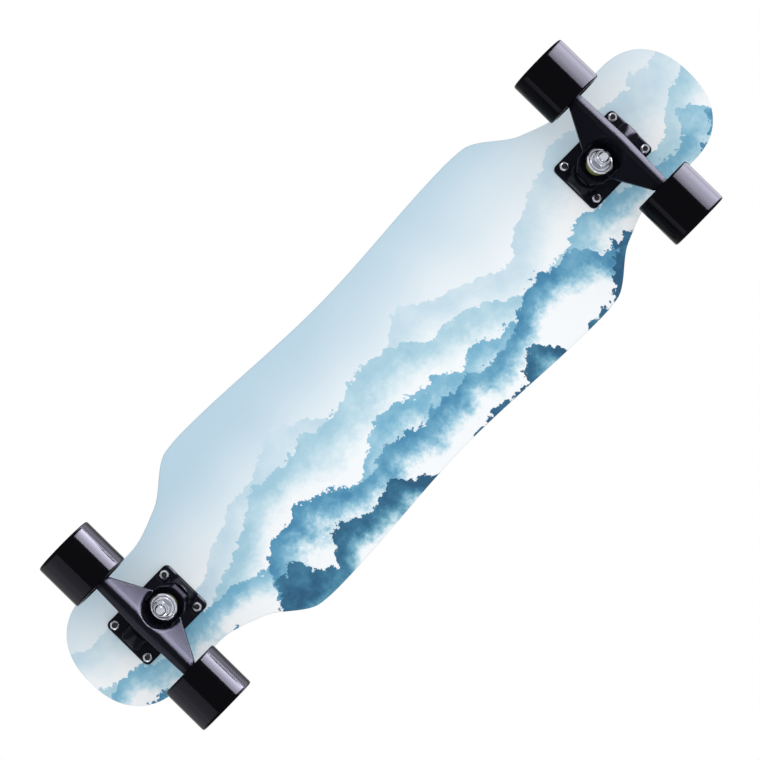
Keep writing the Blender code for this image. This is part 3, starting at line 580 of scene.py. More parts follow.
def on_points(name, part, points, seed, material):
    """Copies of a part mesh on points, as one mesh."""
    model = in_scene("model_part", part)
    sizes = {"Part": model, "Seed": seed, "Material": material}
    made = grown(HARDWARE, name, plain_mesh(name, points), sizes)
    bpy.data.objects.remove(model)
    return made


print(HARDWARE.name, "has", len(HARDWARE.nodes), "nodes")


# %% A thread
def thread_tree():
    """A ridge that climbs a shaft as a spiral."""
    sizes = {"Radius": 0.004, "Pitch": 0.001, "Length": 0.01, "Ridge": 0.0003}
    tree, given, out = growing_tree("thread", sizes)
    radius = given["Radius"]
    spiral_sizes = {
        "Resolution": 24,
        "Rotations": given["Length"] / given["Pitch"],
        "Start Radius": radius,
        "End Radius": radius,
        "Height": given["Length"],
    }
    spiral = put(tree, "GeometryNodeCurveSpiral", spiral_sizes)
    section = {"Resolution": 6, "Radius": given["Ridge"]}
    ridge = put(tree, "GeometryNodeCurvePrimitiveCircle", section)
    inputs = {"Curve": spiral, "Profile Curve": ridge, "Fill Caps": True}
    swept = put(tree, "GeometryNodeCurveToMesh", inputs)
    return finished_tree(tree, given, swept, out)


THREAD = thread_tree()


def thread(radius, pitch, start, length, material):
    """A thread's ridge on Z from a starting height."""
    sizes = {"Radius": radius, "Pitch": pitch, "Length": length, "Ridge": pitch * 0.3}
    made = grown(THREAD, "thread", plain_mesh("thread", []), {**sizes, "Material": material})
    made.transform(at(0, 0, start))
    return made


print(THREAD.name, "has", len(THREAD.nodes), "nodes")


# %% Balls in a bearing
def ball_tree():
    """Balls spaced evenly on a circle."""
    sizes = {"Balls": 7, "Circle": 0.0078, "Ball Radius": 0.0015}
    tree, given, out = growing_tree("ball_row", sizes)
    ring = {"Vertices": given["Balls"], "Radius": given["Circle"]}
    circle = put(tree, "GeometryNodeMeshCircle", ring)
    round_ball = {"Radius": given["Ball Radius"], "Subdivisions": 3}
    ball = put(tree, "GeometryNodeMeshIcoSphere", round_ball)
    placed = put(tree, "GeometryNodeInstanceOnPoints", {"Points": circle, "Instance": ball})
    return finished_tree(tree, given, placed, out)


BALLS = ball_tree()
print("trees:", [tree.name for tree in bpy.data.node_groups if tree.type == "GEOMETRY"])

# %% [markdown]
# ## Wheels
# A wheel is poured urethane: a plain tread with rounded edges, a narrow flat rim, and a dish down
# to the bearing's pocket. It is one turned outline about the axle, mirrored to the other side.
# Nothing in it repeats, so the lathe makes it directly.

# %% Make the wheels
WHEEL_RADIUS, HALF_WHEEL, WHEEL_MIDDLE = 0.030, 0.024, 0.0783
BEARING_RADIUS, BEARING_START, BEARING_END = 0.011, 0.005, 0.012
SHAFT = 0.004
POCKET = BEARING_RADIUS + GAP

wheel_side = [
    (WHEEL_RADIUS, HALF_WHEEL, 0.0023),
    (0.0250, HALF_WHEEL, 0.0008),
    (0.0237, HALF_WHEEL - 0.0011, 0.0008),
    (0.0200, HALF_WHEEL - 0.0088, 0.0020),
    (0.0150, HALF_WHEEL - 0.0098, 0.0010),
    (0.0135, BEARING_END + GAP, 0.0005),
    (POCKET, BEARING_END + GAP, 0.0004),
    (POCKET, BEARING_START - GAP, 0.0002),
    (BEARING_RADIUS - 0.0017, BEARING_START - GAP, 0.0003),
]
other_side = [(radius, -height, fillet) for radius, height, fillet in reversed(wheel_side)]
wheel = turned("wheel", wheel_side + other_side, sides=128, longest=0.003)
wheel_places = [
    (truck, hand, line @ at(0, 0, WHEEL_MIDDLE))
    for truck in TRUCKS
    for hand, line in axle_ends(truck)
]
for truck, hand, line in wheel_places:
    node = f"{truck}_wheel_{hand}"
    place_piece(f"{node}_poured", wheel, line, "wheel_urethane", f"{truck}_{hand}_wheel", node)
print("a wheel has", len(wheel.polygons), "faces")

# %% [markdown]
# ## Bearings
# Each wheel turns on two 608 size bearings: an outer race with a shield, seven balls, and an inner
# race with half of the spacer and a speed ring. The races are turned. The balls repeat, so a tree
# spaces them round their circle.

# %% Make the bearings
RACE_BORE = SHAFT + GAP
TRACK, TRACK_EDGE = 0.0097, 0.0094
SHIELD_TOP, SHIELD_UNDER = BEARING_END - 0.0003, BEARING_END - 0.0006
outer_race = [
    (BEARING_RADIUS, BEARING_START, 0.0004),
    (BEARING_RADIUS, BEARING_END, 0.0004),
    (0.0100, BEARING_END, 0.0002),
    (TRACK, SHIELD_TOP, 0.0001),
    (0.0070, SHIELD_TOP, 0.0002),
    (0.0070, SHIELD_UNDER, 0.0001),
    (TRACK_EDGE, SHIELD_UNDER, 0.0002),
    (TRACK_EDGE, 0.0097, 0.0003),
    (TRACK, 0.0085, 0.0012),
    (TRACK_EDGE, 0.0073, 0.0003),
    (TRACK_EDGE, BEARING_START, 0.0002),
]
inner_race = [
    (RACE_BORE, GAP / 2),
    (SHAFT + 0.0015, GAP / 2, 0.0002),
    (SHAFT + 0.0015, BEARING_START, 0.0001),
    (SHAFT + 0.0022, BEARING_START, 0.0002),
    (SHAFT + 0.0022, BEARING_END, 0.0003),
    (SHAFT + 0.0016, BEARING_END, 0.0001),
    (SHAFT + 0.0015, BEARING_END + 0.0012, 0.0002),
    (RACE_BORE, BEARING_END + 0.0012, 0.0002),
]
steel = FINISHES["bearing_steel"]
balls = grown(BALLS, "balls", plain_mesh("start", []), {"Material": steel})
balls.transform(at(0, 0, (BEARING_START + BEARING_END) / 2))
race = turned("outer_race", outer_race, sides=96)
race = joined("race_with_balls", (race, IN_PLACE, steel), (balls, IN_PLACE, steel))
sleeve = turned("inner_race", inner_race, sides=72)
for truck, hand, line in wheel_places:
    for side, facing in (("outer", IN_PLACE), ("inner", FLIP)):
        for word, mesh in (("race", race), ("sleeve", sleeve)):
            node, body = f"{truck}_bearing_{word}_{side}_{hand}", f"{truck}_{hand}_wheel"
            place_piece(f"{node}_ground", mesh, line @ facing, "bearing_steel", body, node)
print("a race with its balls has", len(race.polygons), "faces")


# %% [markdown]
# ## Lock nuts, pins and bolts
# A lock nut is a chamfered hexagon with a round collar that holds a nylon ring. The kingpin, the
# axles and their nuts are seen end on, so their threads and chamfers are real shapes, not bumps.

# %% A lock nut
def lock_nut_parts(across, height, collar, hole, sides=72):
    """A lock nut that stands on Z: the hexagon with its collar, and the nylon ring."""
    corner = across / 2 / math.cos(math.pi / 6) + 0.0001
    cut, lip, shoulder = 0.13 * across / 2, 0.44 * across, height - collar
    hexagon = [
        (hole, 0.0003, 0.0001),
        (hole + 0.0004, 0, 0.0001),
        (across / 2 - 0.0002, 0, 0.0001),
        (corner, cut, 0.0002),
        (corner, shoulder - 1.2 * cut, 0.0002),
        (across / 2 * 0.97, shoulder, 0.0002),
        (lip, shoulder, 0.0003),
        (lip, height - 0.0003, 0.0006),
        (lip - 0.0012, height, 0.0004),
        (hole + 0.0007, height - 0.0002, 0.0002),
        (hole + 0.0007, height - 0.0006, 0.0001),
        (hole + 0.0011, height - 0.0008, 0.0001),
        (hole + 0.0011, shoulder, 0.0001),
        (hole, shoulder, 0.0001),
    ]
    ring = [
        (hole - 0.0001, shoulder + 0.0001, 0.0001),
        (hole + 0.0010, shoulder + 0.0001, 0.0001),
        (hole + 0.0010, height - 0.0008, 0.0002),
        (hole - 0.0001, height - 0.0008, 0.0002),
    ]
    return (
        (turned("hexagon", hexagon, sides, across, longest=across / 16), FINISHES["zinc_steel"]),
        (turned("ring", ring, sides), FINISHES["nylon"]),
    )


def lock_nut(name, *sizes):
    """The nut's two parts as one mesh."""
    return joined(name, *[(mesh, IN_PLACE, look) for mesh, look in lock_nut_parts(*sizes)])


kingpin_nut = lock_nut("kingpin_nut", 0.0143, 0.0083, 0.0018, 0.00495)
axle_nut = lock_nut("axle_nut", 0.0130, 0.0062, 0.0014, 0.0042)
print("nut faces:", len(kingpin_nut.polygons), len(axle_nut.polygons))

# %% Kingpin and axle
KINGPIN_RADIUS, KINGPIN_ROOT, KINGPIN_PITCH = 0.00475, 0.00425, 0.0011
HEAD_START, HEAD_END, HEAD_RADIUS = 0.0032, 0.0090, 0.0070
zinc = FINISHES["zinc_steel"]
kingpin_outline = [
    (0, HEAD_START),
    (HEAD_RADIUS, HEAD_START, 0.0004),
    (HEAD_RADIUS, HEAD_END, 0.0006),
    (KINGPIN_RADIUS, HEAD_END, 0.0003),
    (KINGPIN_RADIUS, 0.0500, 0.0002),
    (KINGPIN_ROOT, 0.0504, 0.0002),
    (KINGPIN_ROOT, KINGPIN_END - 0.0006, 0.0002),
    (KINGPIN_ROOT - 0.0008, KINGPIN_END, 0.0002),
    (0, KINGPIN_END),
]
ridge = thread(KINGPIN_ROOT, KINGPIN_PITCH, 0.0506, KINGPIN_END - 0.0514, zinc)
kingpin = turned("shank", kingpin_outline)
kingpin = joined("kingpin", (kingpin, IN_PLACE, zinc), (ridge, IN_PLACE, zinc))

AXLE_END, AXLE_ROOT, AXLE_PITCH = 0.1000, 0.0036, 0.00105
axle_half = [
    (SHAFT, 0.0905, 0.0002),
    (AXLE_ROOT, 0.0909, 0.0002),
    (AXLE_ROOT, AXLE_END - 0.0006, 0.0002),
    (AXLE_ROOT - 0.0007, AXLE_END, 0.0002),
    (0, AXLE_END),
]
axle_outline = [(c[0], -c[1], *c[2:]) for c in reversed(axle_half)] + axle_half
ridge = thread(AXLE_ROOT, AXLE_PITCH, 0.0911, AXLE_END - 0.0919, zinc)
rod = turned("rod", axle_outline)
axle = joined("axle", (rod, IN_PLACE, zinc), (ridge, IN_PLACE, zinc), (ridge, FLIP, zinc))
print("kingpin and axle faces:", len(kingpin.polygons), len(axle.polygons))

# %% Washer and pivot cup
PIN_HOLE = 0.00505
SEAT, WASHER, WASHER_RADIUS = 0.0529, 0.0016, 0.0125
WASHER_TOP = SEAT + WASHER
washer_outline = [
    (PIN_HOLE, SEAT, 0.0002),
    (0.0104, SEAT, 0.0005),
    (0.0117, SEAT - 0.0014, 0.0003),
    (WASHER_RADIUS, SEAT - 0.0011, 0.0003),
    (WASHER_RADIUS, WASHER_TOP - 0.0012, 0.0009),
    (0.0114, WASHER_TOP, 0.0010),
    (0.0099, WASHER_TOP - 0.0008, 0.0008),
    (0.0090, WASHER_TOP - 0.0001, 0.0005),
    (PIN_HOLE, WASHER_TOP, 0.0003),
]
washer = turned("washer", washer_outline, sides=96)
CUP_MOUTH, CUP_IN, CUP_OUT, CUP_TOP = 0.005, 0.0058, 0.0080, 0.0072
turns = [math.pi / 2 * step / 10 for step in range(11)]
cup_outline = [(CUP_IN * math.sin(turn), CUP_IN * math.cos(turn)) for turn in turns]
cup_outline += [(CUP_IN, -CUP_MOUTH, 0.0006), (CUP_OUT, -CUP_MOUTH, 0.0006)]
cup_outline += [(CUP_OUT, CUP_TOP, 0.0010), (0, CUP_TOP)]
cup = turned("cup", cup_outline)
print("washer and cup faces:", len(washer.polygons), len(cup.polygons))

# %% Put them on the trucks
AXLE_NUT_SEAT = 0.0918
for truck, place in TRUCKS.items():
    pin, rocker = place @ KINGPIN_LINE, f"{truck}_hanger"
    nut_seat = pin @ at(0, 0, WASHER_TOP + GAP)
    for word, node, mesh, line, slot, body in (
        ("kingpin_turned", "kingpin", kingpin, pin, "zinc_steel", "board"),
        ("washer_pressed", "roadside_washer", washer, pin, "zinc_steel", "board"),
        ("kingpin_lock_nut", "kingpin_nut", kingpin_nut, nut_seat, "zinc_steel", "board"),
        ("pivot_cup_moulded", "pivot_cup", cup, place @ PIVOT_LINE, "cup_urethane", "board"),
        ("axle_turned", "axle", axle, place @ AXLE_LINE, "zinc_steel", rocker),
    ):
        place_piece(f"{truck}_{word}", mesh, line, slot, body, f"{truck}_{node}")
    for hand, line in axle_ends(truck):
        node, seat = f"{truck}_axle_nut_{hand}", line @ at(0, 0, AXLE_NUT_SEAT)
        place_piece(f"{node}_lock", axle_nut, seat, "zinc_steel", rocker, node)
print("pieces so far:", len(made_pieces))

# %% [markdown]
# ## Bushings
# The hanger rocks between two urethane bushings, and they give way between it and the board. Each
# is turned with a soft bulge.

# %% Make the bushings
BOARD_SEAT, RING_LOWER, RING_UPPER = 0.0215, 0.0352, 0.0412


def bushing(name, start, end, start_radius, end_radius):
    """A bushing between two heights on the kingpin, bulging a little."""
    bulge = (start_radius + end_radius) / 2 + 0.0003
    outline = [
        (PIN_HOLE, start, 0.0004),
        (start_radius, start, 0.0011),
        (bulge, (start + end) / 2, 0.0080),
        (end_radius, end, 0.0011),
        (PIN_HOLE, end, 0.0004),
    ]
    return turned(name, outline, sides=96, longest=0.001)


boardside = bushing("boardside", BOARD_SEAT + GAP, RING_LOWER - GAP, 0.0123, 0.0123)
# the boardside bushing is black, partly as a second urethane and partly as painted shade in the
# ring's recess
boardside.materials.append(FINISHES["black_urethane_and_shade"])
roadside = bushing("roadside", RING_UPPER + GAP, SEAT - GAP, 0.0099, 0.0092)
for truck, place in TRUCKS.items():
    line = place @ KINGPIN_LINE
    for word, mesh, fixed, moving in (
        ("boardside", boardside, BOARD_SEAT, RING_LOWER),
        ("roadside", roadside, SEAT, RING_UPPER),
    ):
        node = f"{truck}_{word}_bushing"
        piece = place_piece(f"{node}_poured", mesh, line, "bushing_urethane", None, node)
        start, end = line @ Vector((0, 0, fixed)), line @ Vector((0, 0, moving))
        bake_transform(piece)
print("bushing faces:", len(boardside.polygons))


# %% [markdown]
# ## Mounting bolts and nuts
# Eight countersunk bolts go down through grip, deck and baseplate, and eight small lock nuts hold
# them. They are alike and all ride on the board, so one tree sets a bolt and a nut on every hole.

# %% Make the bolts and nuts
BOLT_X, BOLT_Y = 0.03175, 0.02065
GRIP_TOP = 0.0961
FLANGE = 0.0058
FLANGE_FACE = DECK_BOTTOM - FLANGE - GAP
BOLT_LENGTH = GRIP_TOP - FLANGE_FACE + 0.0050 - 0.0010
BOLT_RADIUS, COUNTERSINK = 0.0024, 0.0024
SOCKET_FLOOR, SOCKET_RADIUS, SOCKET_ACROSS = -0.0016, 0.0018, 0.0030
corners = [(x * BOLT_X, y * BOLT_Y, 0) for x in (1, -1) for y in (1, -1)]
holes = [(place @ Vector(corner)).to_2d() for place in TRUCKS.values() for corner in corners]
bolt_outline = [
    (0, SOCKET_FLOOR),
    (SOCKET_RADIUS, SOCKET_FLOOR, 0.0002),
    (SOCKET_RADIUS, -0.0001, 0.0001),
    (0.0020, 0, 0.0001),
    (0.0044, 0, 0.0002),
    (0.0045, -0.0003, 0.0001),
    (BOLT_RADIUS, -COUNTERSINK, 0.0002),
    (BOLT_RADIUS, -BOLT_LENGTH + 0.0004, 0.0002),
    (0.0020, -BOLT_LENGTH, 0.0001),
    (0, -BOLT_LENGTH),
]


def socket_hexagon(mesh, across, radius):
    """Squeezes the head's points inside a radius into a hexagon, as the key's socket is."""
    for vertex in mesh.vertices:
        x, y, z = vertex.co
        reach = math.hypot(x, y)
        if 1e-6 < reach <= radius and z > -0.002:
            limit = hexagon_reach(math.atan2(y, x), across)
            vertex.co.x, vertex.co.y = limit * x / reach, limit * y / reach
    return mesh


bolt = turned("bolt", bolt_outline, sides=48)
bolt = socket_hexagon(bolt, SOCKET_ACROSS, SOCKET_RADIUS + 0.00005)
heads = [(x, y, GRIP_TOP) for x, y in holes]
bolts = on_points("bolts", bolt, heads, 5, FINISHES["bolt_black"])
bolt_nodes = [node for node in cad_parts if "_bolt_" in node]
shanks = [node for node in bolt_nodes if "_nut_" not in node]
place_piece("mounting_bolts", bolts, IN_PLACE, "bolt_black", "board", *shanks)
seats = [(x, y, FLANGE_FACE) for x, y in holes]
nut_parts = []
for mesh, look in lock_nut_parts(0.0080, 0.0050, 0.0012, 0.0026, sides=48):
    mesh.transform(FLIP)
    nut_parts.append((on_points("nuts", mesh, seats, 7, look), IN_PLACE, look))
nut_nodes = [node for node in bolt_nodes if "_bolt_nut_" in node]
nuts = joined("nuts", *nut_parts)
place_piece("mounting_nuts", nuts, IN_PLACE, "zinc_steel", "board", *nut_nodes)
print("holes at", [(round(x, 4), round(y, 4)) for x, y in holes])


# %% [markdown]
# ## Castings
# Hangers and baseplates are cast, so their forms run into each other in soft fillets. Such a shape
# is easiest to say as a field: a formula that is negative inside the metal and positive outside it.
# Forms are joined or cut with a soft minimum or maximum, whose softness is the fillet. The surface
# is then drawn where the field is zero: one point in each small cell that the surface crosses,
# pulled onto it, and a face across each crossed edge.

# %% Soft joints
def join_soft(a, b, fillet):
    """The union of two fields, with a fillet between them."""
    share = np.clip(0.5 + 0.5 * (b - a) / fillet, 0, 1)
    return b + (a - b) * share - fillet * share * (1 - share)


def cross_soft(first, *others, edge=0.0012):
    """What lies in all the fields, its edges rounded."""
    for other in others:
        first = -join_soft(-first, -other, edge)
    return first


def cut_soft(solid, cuts):
    """The solid without the cuts, each given with the rounding of its edge."""
    for cut, edge in cuts:
        solid = cross_soft(solid, -cut, edge=edge)
    return solid


def round_bar(radius, half_length, across, along):
    """A field of a round bar from the distances across and along it."""
    return cross_soft(across - radius, np.abs(along) - half_length, edge=0.0008)


def steep(slope):
    """Turns a height over a slope into the distance from it."""
    return math.cos(math.atan(slope))


print("with a fillet of 2, fields that are both 1 join at", join_soft(1.0, 1.0, 2.0))

# %% Draw a field's surface
CELL = 0.00055
DRAWING_STEPS = 3


def surface(name, field, low, high):
    """The closed mesh where the field is zero, within a box."""
    counts = [int(math.ceil((b - a) / CELL)) + 1 for a, b in zip(low, high)]
    lines = [a + CELL * np.arange(count) for a, count in zip(low, counts)]
    grid = np.stack(np.meshgrid(*lines, indexing="ij"))
    value = field(*grid)
    inside = value < 0
    cells = tuple(count - 1 for count in counts)
    total, hits = np.zeros((3, *cells)), np.zeros(cells)
    unit = np.eye(3, dtype=int)
    for axis in range(3):
        a = tuple(slice(0, n - step) for n, step in zip(counts, unit[axis]))
        b = tuple(slice(step, n) for n, step in zip(counts, unit[axis]))
        crossed = inside[a] != inside[b]
        share = np.where(crossed, value[a] / np.where(crossed, value[a] - value[b], 1), 0)
        for j, k in ((0, 0), (0, 1), (1, 0), (1, 1)):
            shift = j * unit[(axis + 1) % 3] + k * unit[(axis + 2) % 3]
            part = tuple(slice(s, s + n) for s, n in zip(shift, cells))
            there = crossed[part]
            hits += there
            for d in range(3):
                point = grid[d][a][part] + (share[part] * CELL if d == axis else 0)
                total[d] += np.where(there, point, 0)
    active = hits > 0
    number = np.full(cells, -1)
    number[active] = np.arange(active.sum())
    points = np.stack([total[d][active] / hits[active] for d in range(3)], axis=1)
    faces = []
    for axis in range(3):
        u, v = unit[(axis + 1) % 3], unit[(axis + 2) % 3]
        a = tuple(slice(1, n - 1) for n in counts)
        b = tuple(slice(1 + step, n - 1 + step) for n, step in zip(counts, unit[axis]))
        where = np.argwhere(inside[a] != inside[b]) + 1
        quads = [number[tuple((where - shift).T)] for shift in (0 * u, u, u + v, v)]
        quads = np.stack(quads, axis=1)
        out = inside[tuple(where.T)]
        faces.append(np.where(out[:, None], quads, quads[:, ::-1]))
    points = pulled(field, points)
    return cleaned(plain_mesh(name, points.tolist(), np.concatenate(faces).tolist()))


def pulled(field, points):
    """The points after a few steps along the field's slope onto its surface."""
    reach = CELL / 20
    for _ in range(DRAWING_STEPS):
        value = field(*points.T)
        ways = reach * np.eye(3)
        slope = np.stack([field(*(points + d).T) - field(*(points - d).T) for d in ways])
        slope = slope.T / (2 * reach)
        steepness = np.maximum((slope**2).sum(1), 0.04)[:, None]
        step = value[:, None] * slope / steepness
        points = points - np.clip(step, -CELL / 2, CELL / 2)
    return points


print("cells of a casting are", CELL * 1000, "mm wide")


# %% [markdown]
# ## The hanger
# It is the truck's moving casting: a bar for the axle, two webs that run in to a ring for the
# bushings, a keel under the ring, and a pivot nose. The recess on the road side leaves room for the
# washer to rock in.

# %% The hanger's bar
BAR_END, WEB_END = 0.0645, 0.0540
BAR_EDGE = 0.0014


def bar_half_sizes(y):
    """Half the bar's width and height, which shrink to its ends."""
    share = np.clip(np.abs(y) / WEB_END, 0, 1)
    return 0.0083 - 0.0016 * share, 0.0086 - 0.0019 * share


def kingpin_frame(x, y, z):
    """Distances along the steering line, along the kingpin and out from the kingpin."""
    along = (x - RING.x) * COS + (z - RING.z) * SIN
    down = (x - RING.x) * SIN - (z - RING.z) * COS
    return along, down, np.sqrt(along**2 + y**2)


def bar_field(x, y, z):
    """The axle's bar: eight-sided with soft edges, and broader slants on its outer side."""
    half_width, half_height = bar_half_sizes(y)
    u, w = np.abs(x - AXLE.x), np.abs(z - AXLE.z)
    run = np.where(x > AXLE.x, 0.70, 0.50) * half_width
    rise = 0.60 * half_height
    corner = (u - half_width) * rise + (w - half_height + rise) * run
    corner = corner / np.sqrt(run**2 + rise**2)
    end = np.abs(y) - BAR_END
    return cross_soft(u - half_width, w - half_height, corner, end, edge=BAR_EDGE)


print("the bar's half sizes, amid and at a web's end:", bar_half_sizes(0), bar_half_sizes(WEB_END))

# %% Webs, ring and keel
WEB_SLOPE, WEB_TIP = 0.517, 0.0247
ROAD_RISE, ROAD_HOLLOW, ROAD_SLOPE = 0.60, 4.2, 0.469
RING_TIP, RING_REACH, RING_HALF_HEIGHT = 0.0308, 0.0165, 0.0042
RING_WALL, RIM_CHAMFER = 0.0016, 0.0008
BROW_HEIGHT, BROW_SLOPE = -0.0447, 0.25
KEEL_HALF_WIDTH = 0.0085


def hanger_body(x, y, z, along, down, road, ring_end):
    """The bar with the webs, the ring and the keel, before the nose and the cuts."""
    side = np.abs(y)
    half_width, half_height = bar_half_sizes(y)
    ridge = AXLE.x - 0.5 * half_width
    crest = AXLE.z - half_height - z
    web_edge = (WEB_SLOPE * side - WEB_TIP - x) * steep(WEB_SLOPE)
    web = cross_soft(-0.0068 - road, web_edge, x - ridge - 0.0008, side - WEB_END, edge=0.0015)
    brow = (BROW_HEIGHT + BROW_SLOPE * (-RING_TIP - x) - z) * steep(BROW_SLOPE)
    under = -RING_HALF_HEIGHT - down
    sides = (side - RING_REACH, along - RING_REACH)
    ring = cross_soft(under, ring_end, *sides, brow, edge=0.0013)
    keel_sides = (side - KEEL_HALF_WIDTH, x - AXLE.x - 0.0028, -0.0200 - along)
    keel = cross_soft(under, *keel_sides, crest + 0.0015, edge=0.0015)
    casting = join_soft(web, join_soft(ring, keel, 0.0020), 0.0022)
    casting = cross_soft(casting, road, crest + 0.0007, edge=0.0012)
    return join_soft(bar_field(x, y, z), casting, 0.0020)


def road_field(x, y, z):
    """The slightly hollow road side of the webs."""
    half_width, half_height = bar_half_sizes(y)
    drop = AXLE.x - 0.5 * half_width - x
    height = AXLE.z - half_height + ROAD_RISE * drop - ROAD_HOLLOW * drop**2
    return (height - z) * steep(ROAD_SLOPE)


web_turn = math.degrees(math.atan(WEB_SLOPE))
print("the webs' edges are", round(web_turn), "degrees off the axle's line")

# %% Make the hangers
NECK_START = -0.026
NECK = (NECK_START, -0.014, -0.005, 0.0), (0.0068, 0.0082, 0.0055, 0.0055)
SEAT_RADIUS, SEAT_DEPTH, HANGER_HOLE, AXLE_HOLE = 0.0126, 0.0012, 0.0075, 0.0043
DISH_ALONG, DISH_ACROSS = 0.0150, 0.0180
ROCKING_REACH = 0.0211


def hanger_field(x, y, z):
    side = np.abs(y)
    along, down, out = kingpin_frame(x, y, z)
    road = road_field(x, y, z)
    ring_corner = ((side - 0.0095) * 1.226 - RING_TIP - x) * 0.632
    ring_end = cross_soft(-RING_TIP - x, ring_corner, edge=0.0030)
    solid = hanger_body(x, y, z, along, down, road, ring_end)

    from_pivot = along - PIVOT_AT
    nose = np.sqrt(np.maximum(from_pivot, 0) ** 2 + y**2 + down**2)
    nose = np.maximum(nose - np.interp(from_pivot, *NECK), NECK_START - from_pivot)
    solid = join_soft(solid, nose, 0.0022)

    dish = np.sqrt((along / DISH_ALONG) ** 2 + (y / DISH_ACROSS) ** 2) * DISH_ALONG - DISH_ALONG
    web_inside = (x + WEB_TIP) / WEB_SLOPE - 0.0026
    beside = (side - np.maximum(SEAT_RADIUS + 0.0020, web_inside)) * 0.7
    dish = cross_soft(dish, ring_end + RING_WALL, beside, edge=0.0030)
    dish = dish - np.maximum(road + RIM_CHAMFER, 0)
    rocking = np.sqrt(y**2 + down**2) - ROCKING_REACH
    rocking = cross_soft(rocking, np.abs(along) - 0.0131, (side - 1.66 * down) * 0.516)
    cuts = (
        (cross_soft(dish, RING_HALF_HEIGHT - down, edge=0.0020), 0.0016),
        (rocking, 0.0008),
        (round_bar(SEAT_RADIUS, SEAT_DEPTH, out, down - RING_HALF_HEIGHT), 0.0007),
        (round_bar(SEAT_RADIUS, SEAT_DEPTH, out, down + RING_HALF_HEIGHT), 0.0007),
        (out - HANGER_HOLE, 0.0009),
        (np.sqrt((x - AXLE.x) ** 2 + (z - AXLE.z) ** 2) - AXLE_HOLE, 0.0008),
    )
    return cut_soft(solid, cuts)


hanger = surface("hanger", hanger_field, (-0.0335, -0.0665, -0.0645), (0.0310, 0.0665, -0.0140))
for truck, place in TRUCKS.items():
    body = node = f"{truck}_hanger"
    place_piece(f"{node}_cast", hanger, place, "truck_black", body, node)
print("a hanger has", len(hanger.polygons), "faces")

# %% [markdown]
# ## The baseplate
# It is bolted under the deck: a flange with round corners, a spine, a boss that the kingpin leans
# out of, and a housing for the pivot cup. Its raised forms stay inside the flange's outline, so
# that it draws from the mould.

# %% Make the baseplates
FLANGE_MIDDLE, FLANGE_CORNER = -0.0015, 0.005
FLANGE_HALF_LENGTH, FLANGE_HALF_WIDTH = 0.03925, 0.02675
SPINE, SPINE_HALF_WIDTH = 0.0090, 0.0120
BOSS_HEIGHT, BOSS_RADIUS = 0.0212, 0.0146
PEDESTAL_HALF_WIDTH, PEDESTAL_START, PEDESTAL_END = 0.0102, 0.0191, 0.0305
HOUSING_RADIUS, HOUSING_MOUTH, HOUSING_END = 0.0105, 0.0050, 0.0093
CUP_BORE, HEAD_BORE, HEAD_BORE_END = 0.0083, 0.0073, 0.0093
BOLT_HOLE, NUT_RECESS = 0.0027, 0.0062


def plate_field(x, y, inset):
    """The flange's outline, drawn in."""
    qx = np.abs(x - FLANGE_MIDDLE) - (FLANGE_HALF_LENGTH - FLANGE_CORNER)
    qy = np.abs(y) - (FLANGE_HALF_WIDTH - FLANGE_CORNER)
    outside = np.sqrt(np.maximum(qx, 0) ** 2 + np.maximum(qy, 0) ** 2)
    return outside + np.minimum(np.maximum(qx, qy), 0) - FLANGE_CORNER + inset


def baseplate_field(x, y, z):
    side = np.abs(y)
    along, down, out = kingpin_frame(x, y, z)
    up_pin, up_pivot = down + RING_AT, along - PIVOT_AT
    round_pivot = np.sqrt(y**2 + down**2)

    raised = cross_soft(side - SPINE_HALF_WIDTH, -SPINE - z, x - PIVOT.x, edge=0.0015)
    taper = 0.001 * (1 - up_pin / BOARD_SEAT)
    boss = cross_soft(out - BOSS_RADIUS - taper, up_pin - BOSS_HEIGHT, edge=0.0009)
    raised = join_soft(raised, boss, 0.0022)
    ends = (PEDESTAL_START - x, x - PEDESTAL_END)
    pedestal = cross_soft(side - PEDESTAL_HALF_WIDTH, *ends, PIVOT.z - z, edge=0.0009)
    outer_corner = (x - PIVOT.x - z + PIVOT.z) * math.sqrt(0.5) - 0.0112
    ends = (-up_pivot - HOUSING_MOUTH, up_pivot - HOUSING_END)
    housing = cross_soft(round_pivot - HOUSING_RADIUS, *ends, outer_corner, edge=0.0022)
    raised = join_soft(raised, join_soft(pedestal, housing, 0.0015), 0.0022)
    raised = cross_soft(raised, plate_field(x, y, 0.0010), z + FLANGE / 2, edge=0.0008)

    flange = cross_soft(plate_field(x, y, 0), -FLANGE - z, edge=0.0022)
    solid = cross_soft(join_soft(flange, raised, 0.0016), z + GAP, edge=0.0004)
    cup_bore = (round_pivot - CUP_BORE, -up_pivot - 0.010, up_pivot - 0.0075)
    cuts = [
        (np.maximum(out - PIN_HOLE, -up_pin - 0.01), 0.0006),
        (np.maximum(out - HEAD_BORE, up_pin - HEAD_BORE_END), 0.0004),
        (cross_soft(*cup_bore, edge=0.0008), 0.0006),
    ]
    for end in (1, -1):
        bolt_out = np.sqrt((x - end * BOLT_X) ** 2 + (side - BOLT_Y) ** 2)
        cuts.append((bolt_out - BOLT_HOLE, 0.0004))
        cuts.append((np.maximum(bolt_out - NUT_RECESS, z + FLANGE), 0.0008))
    return cut_soft(solid, cuts)


low, high = (-0.0420, -0.0280, -0.0330), (0.0390, 0.0280, 0.0008)
baseplate = surface("baseplate", baseplate_field, low, high)
for truck, place in TRUCKS.items():
    node = f"{truck}_baseplate"
    place_piece(f"{node}_cast", baseplate, place, "truck_black", "board", node)
print("a baseplate has", len(baseplate.polygons), "faces")

# %% [markdown]
# ## The deck
# Seven maple veneers are pressed into a board with a kick at each tip and a shallow hollow, then
# cut and rounded. The same order works here. A flat board is made first: the outline, with rails
# rounded by rings that are drawn in along the outline's normal. A Geometry Nodes tree then presses
# it, because the bend is a rule over the whole board.

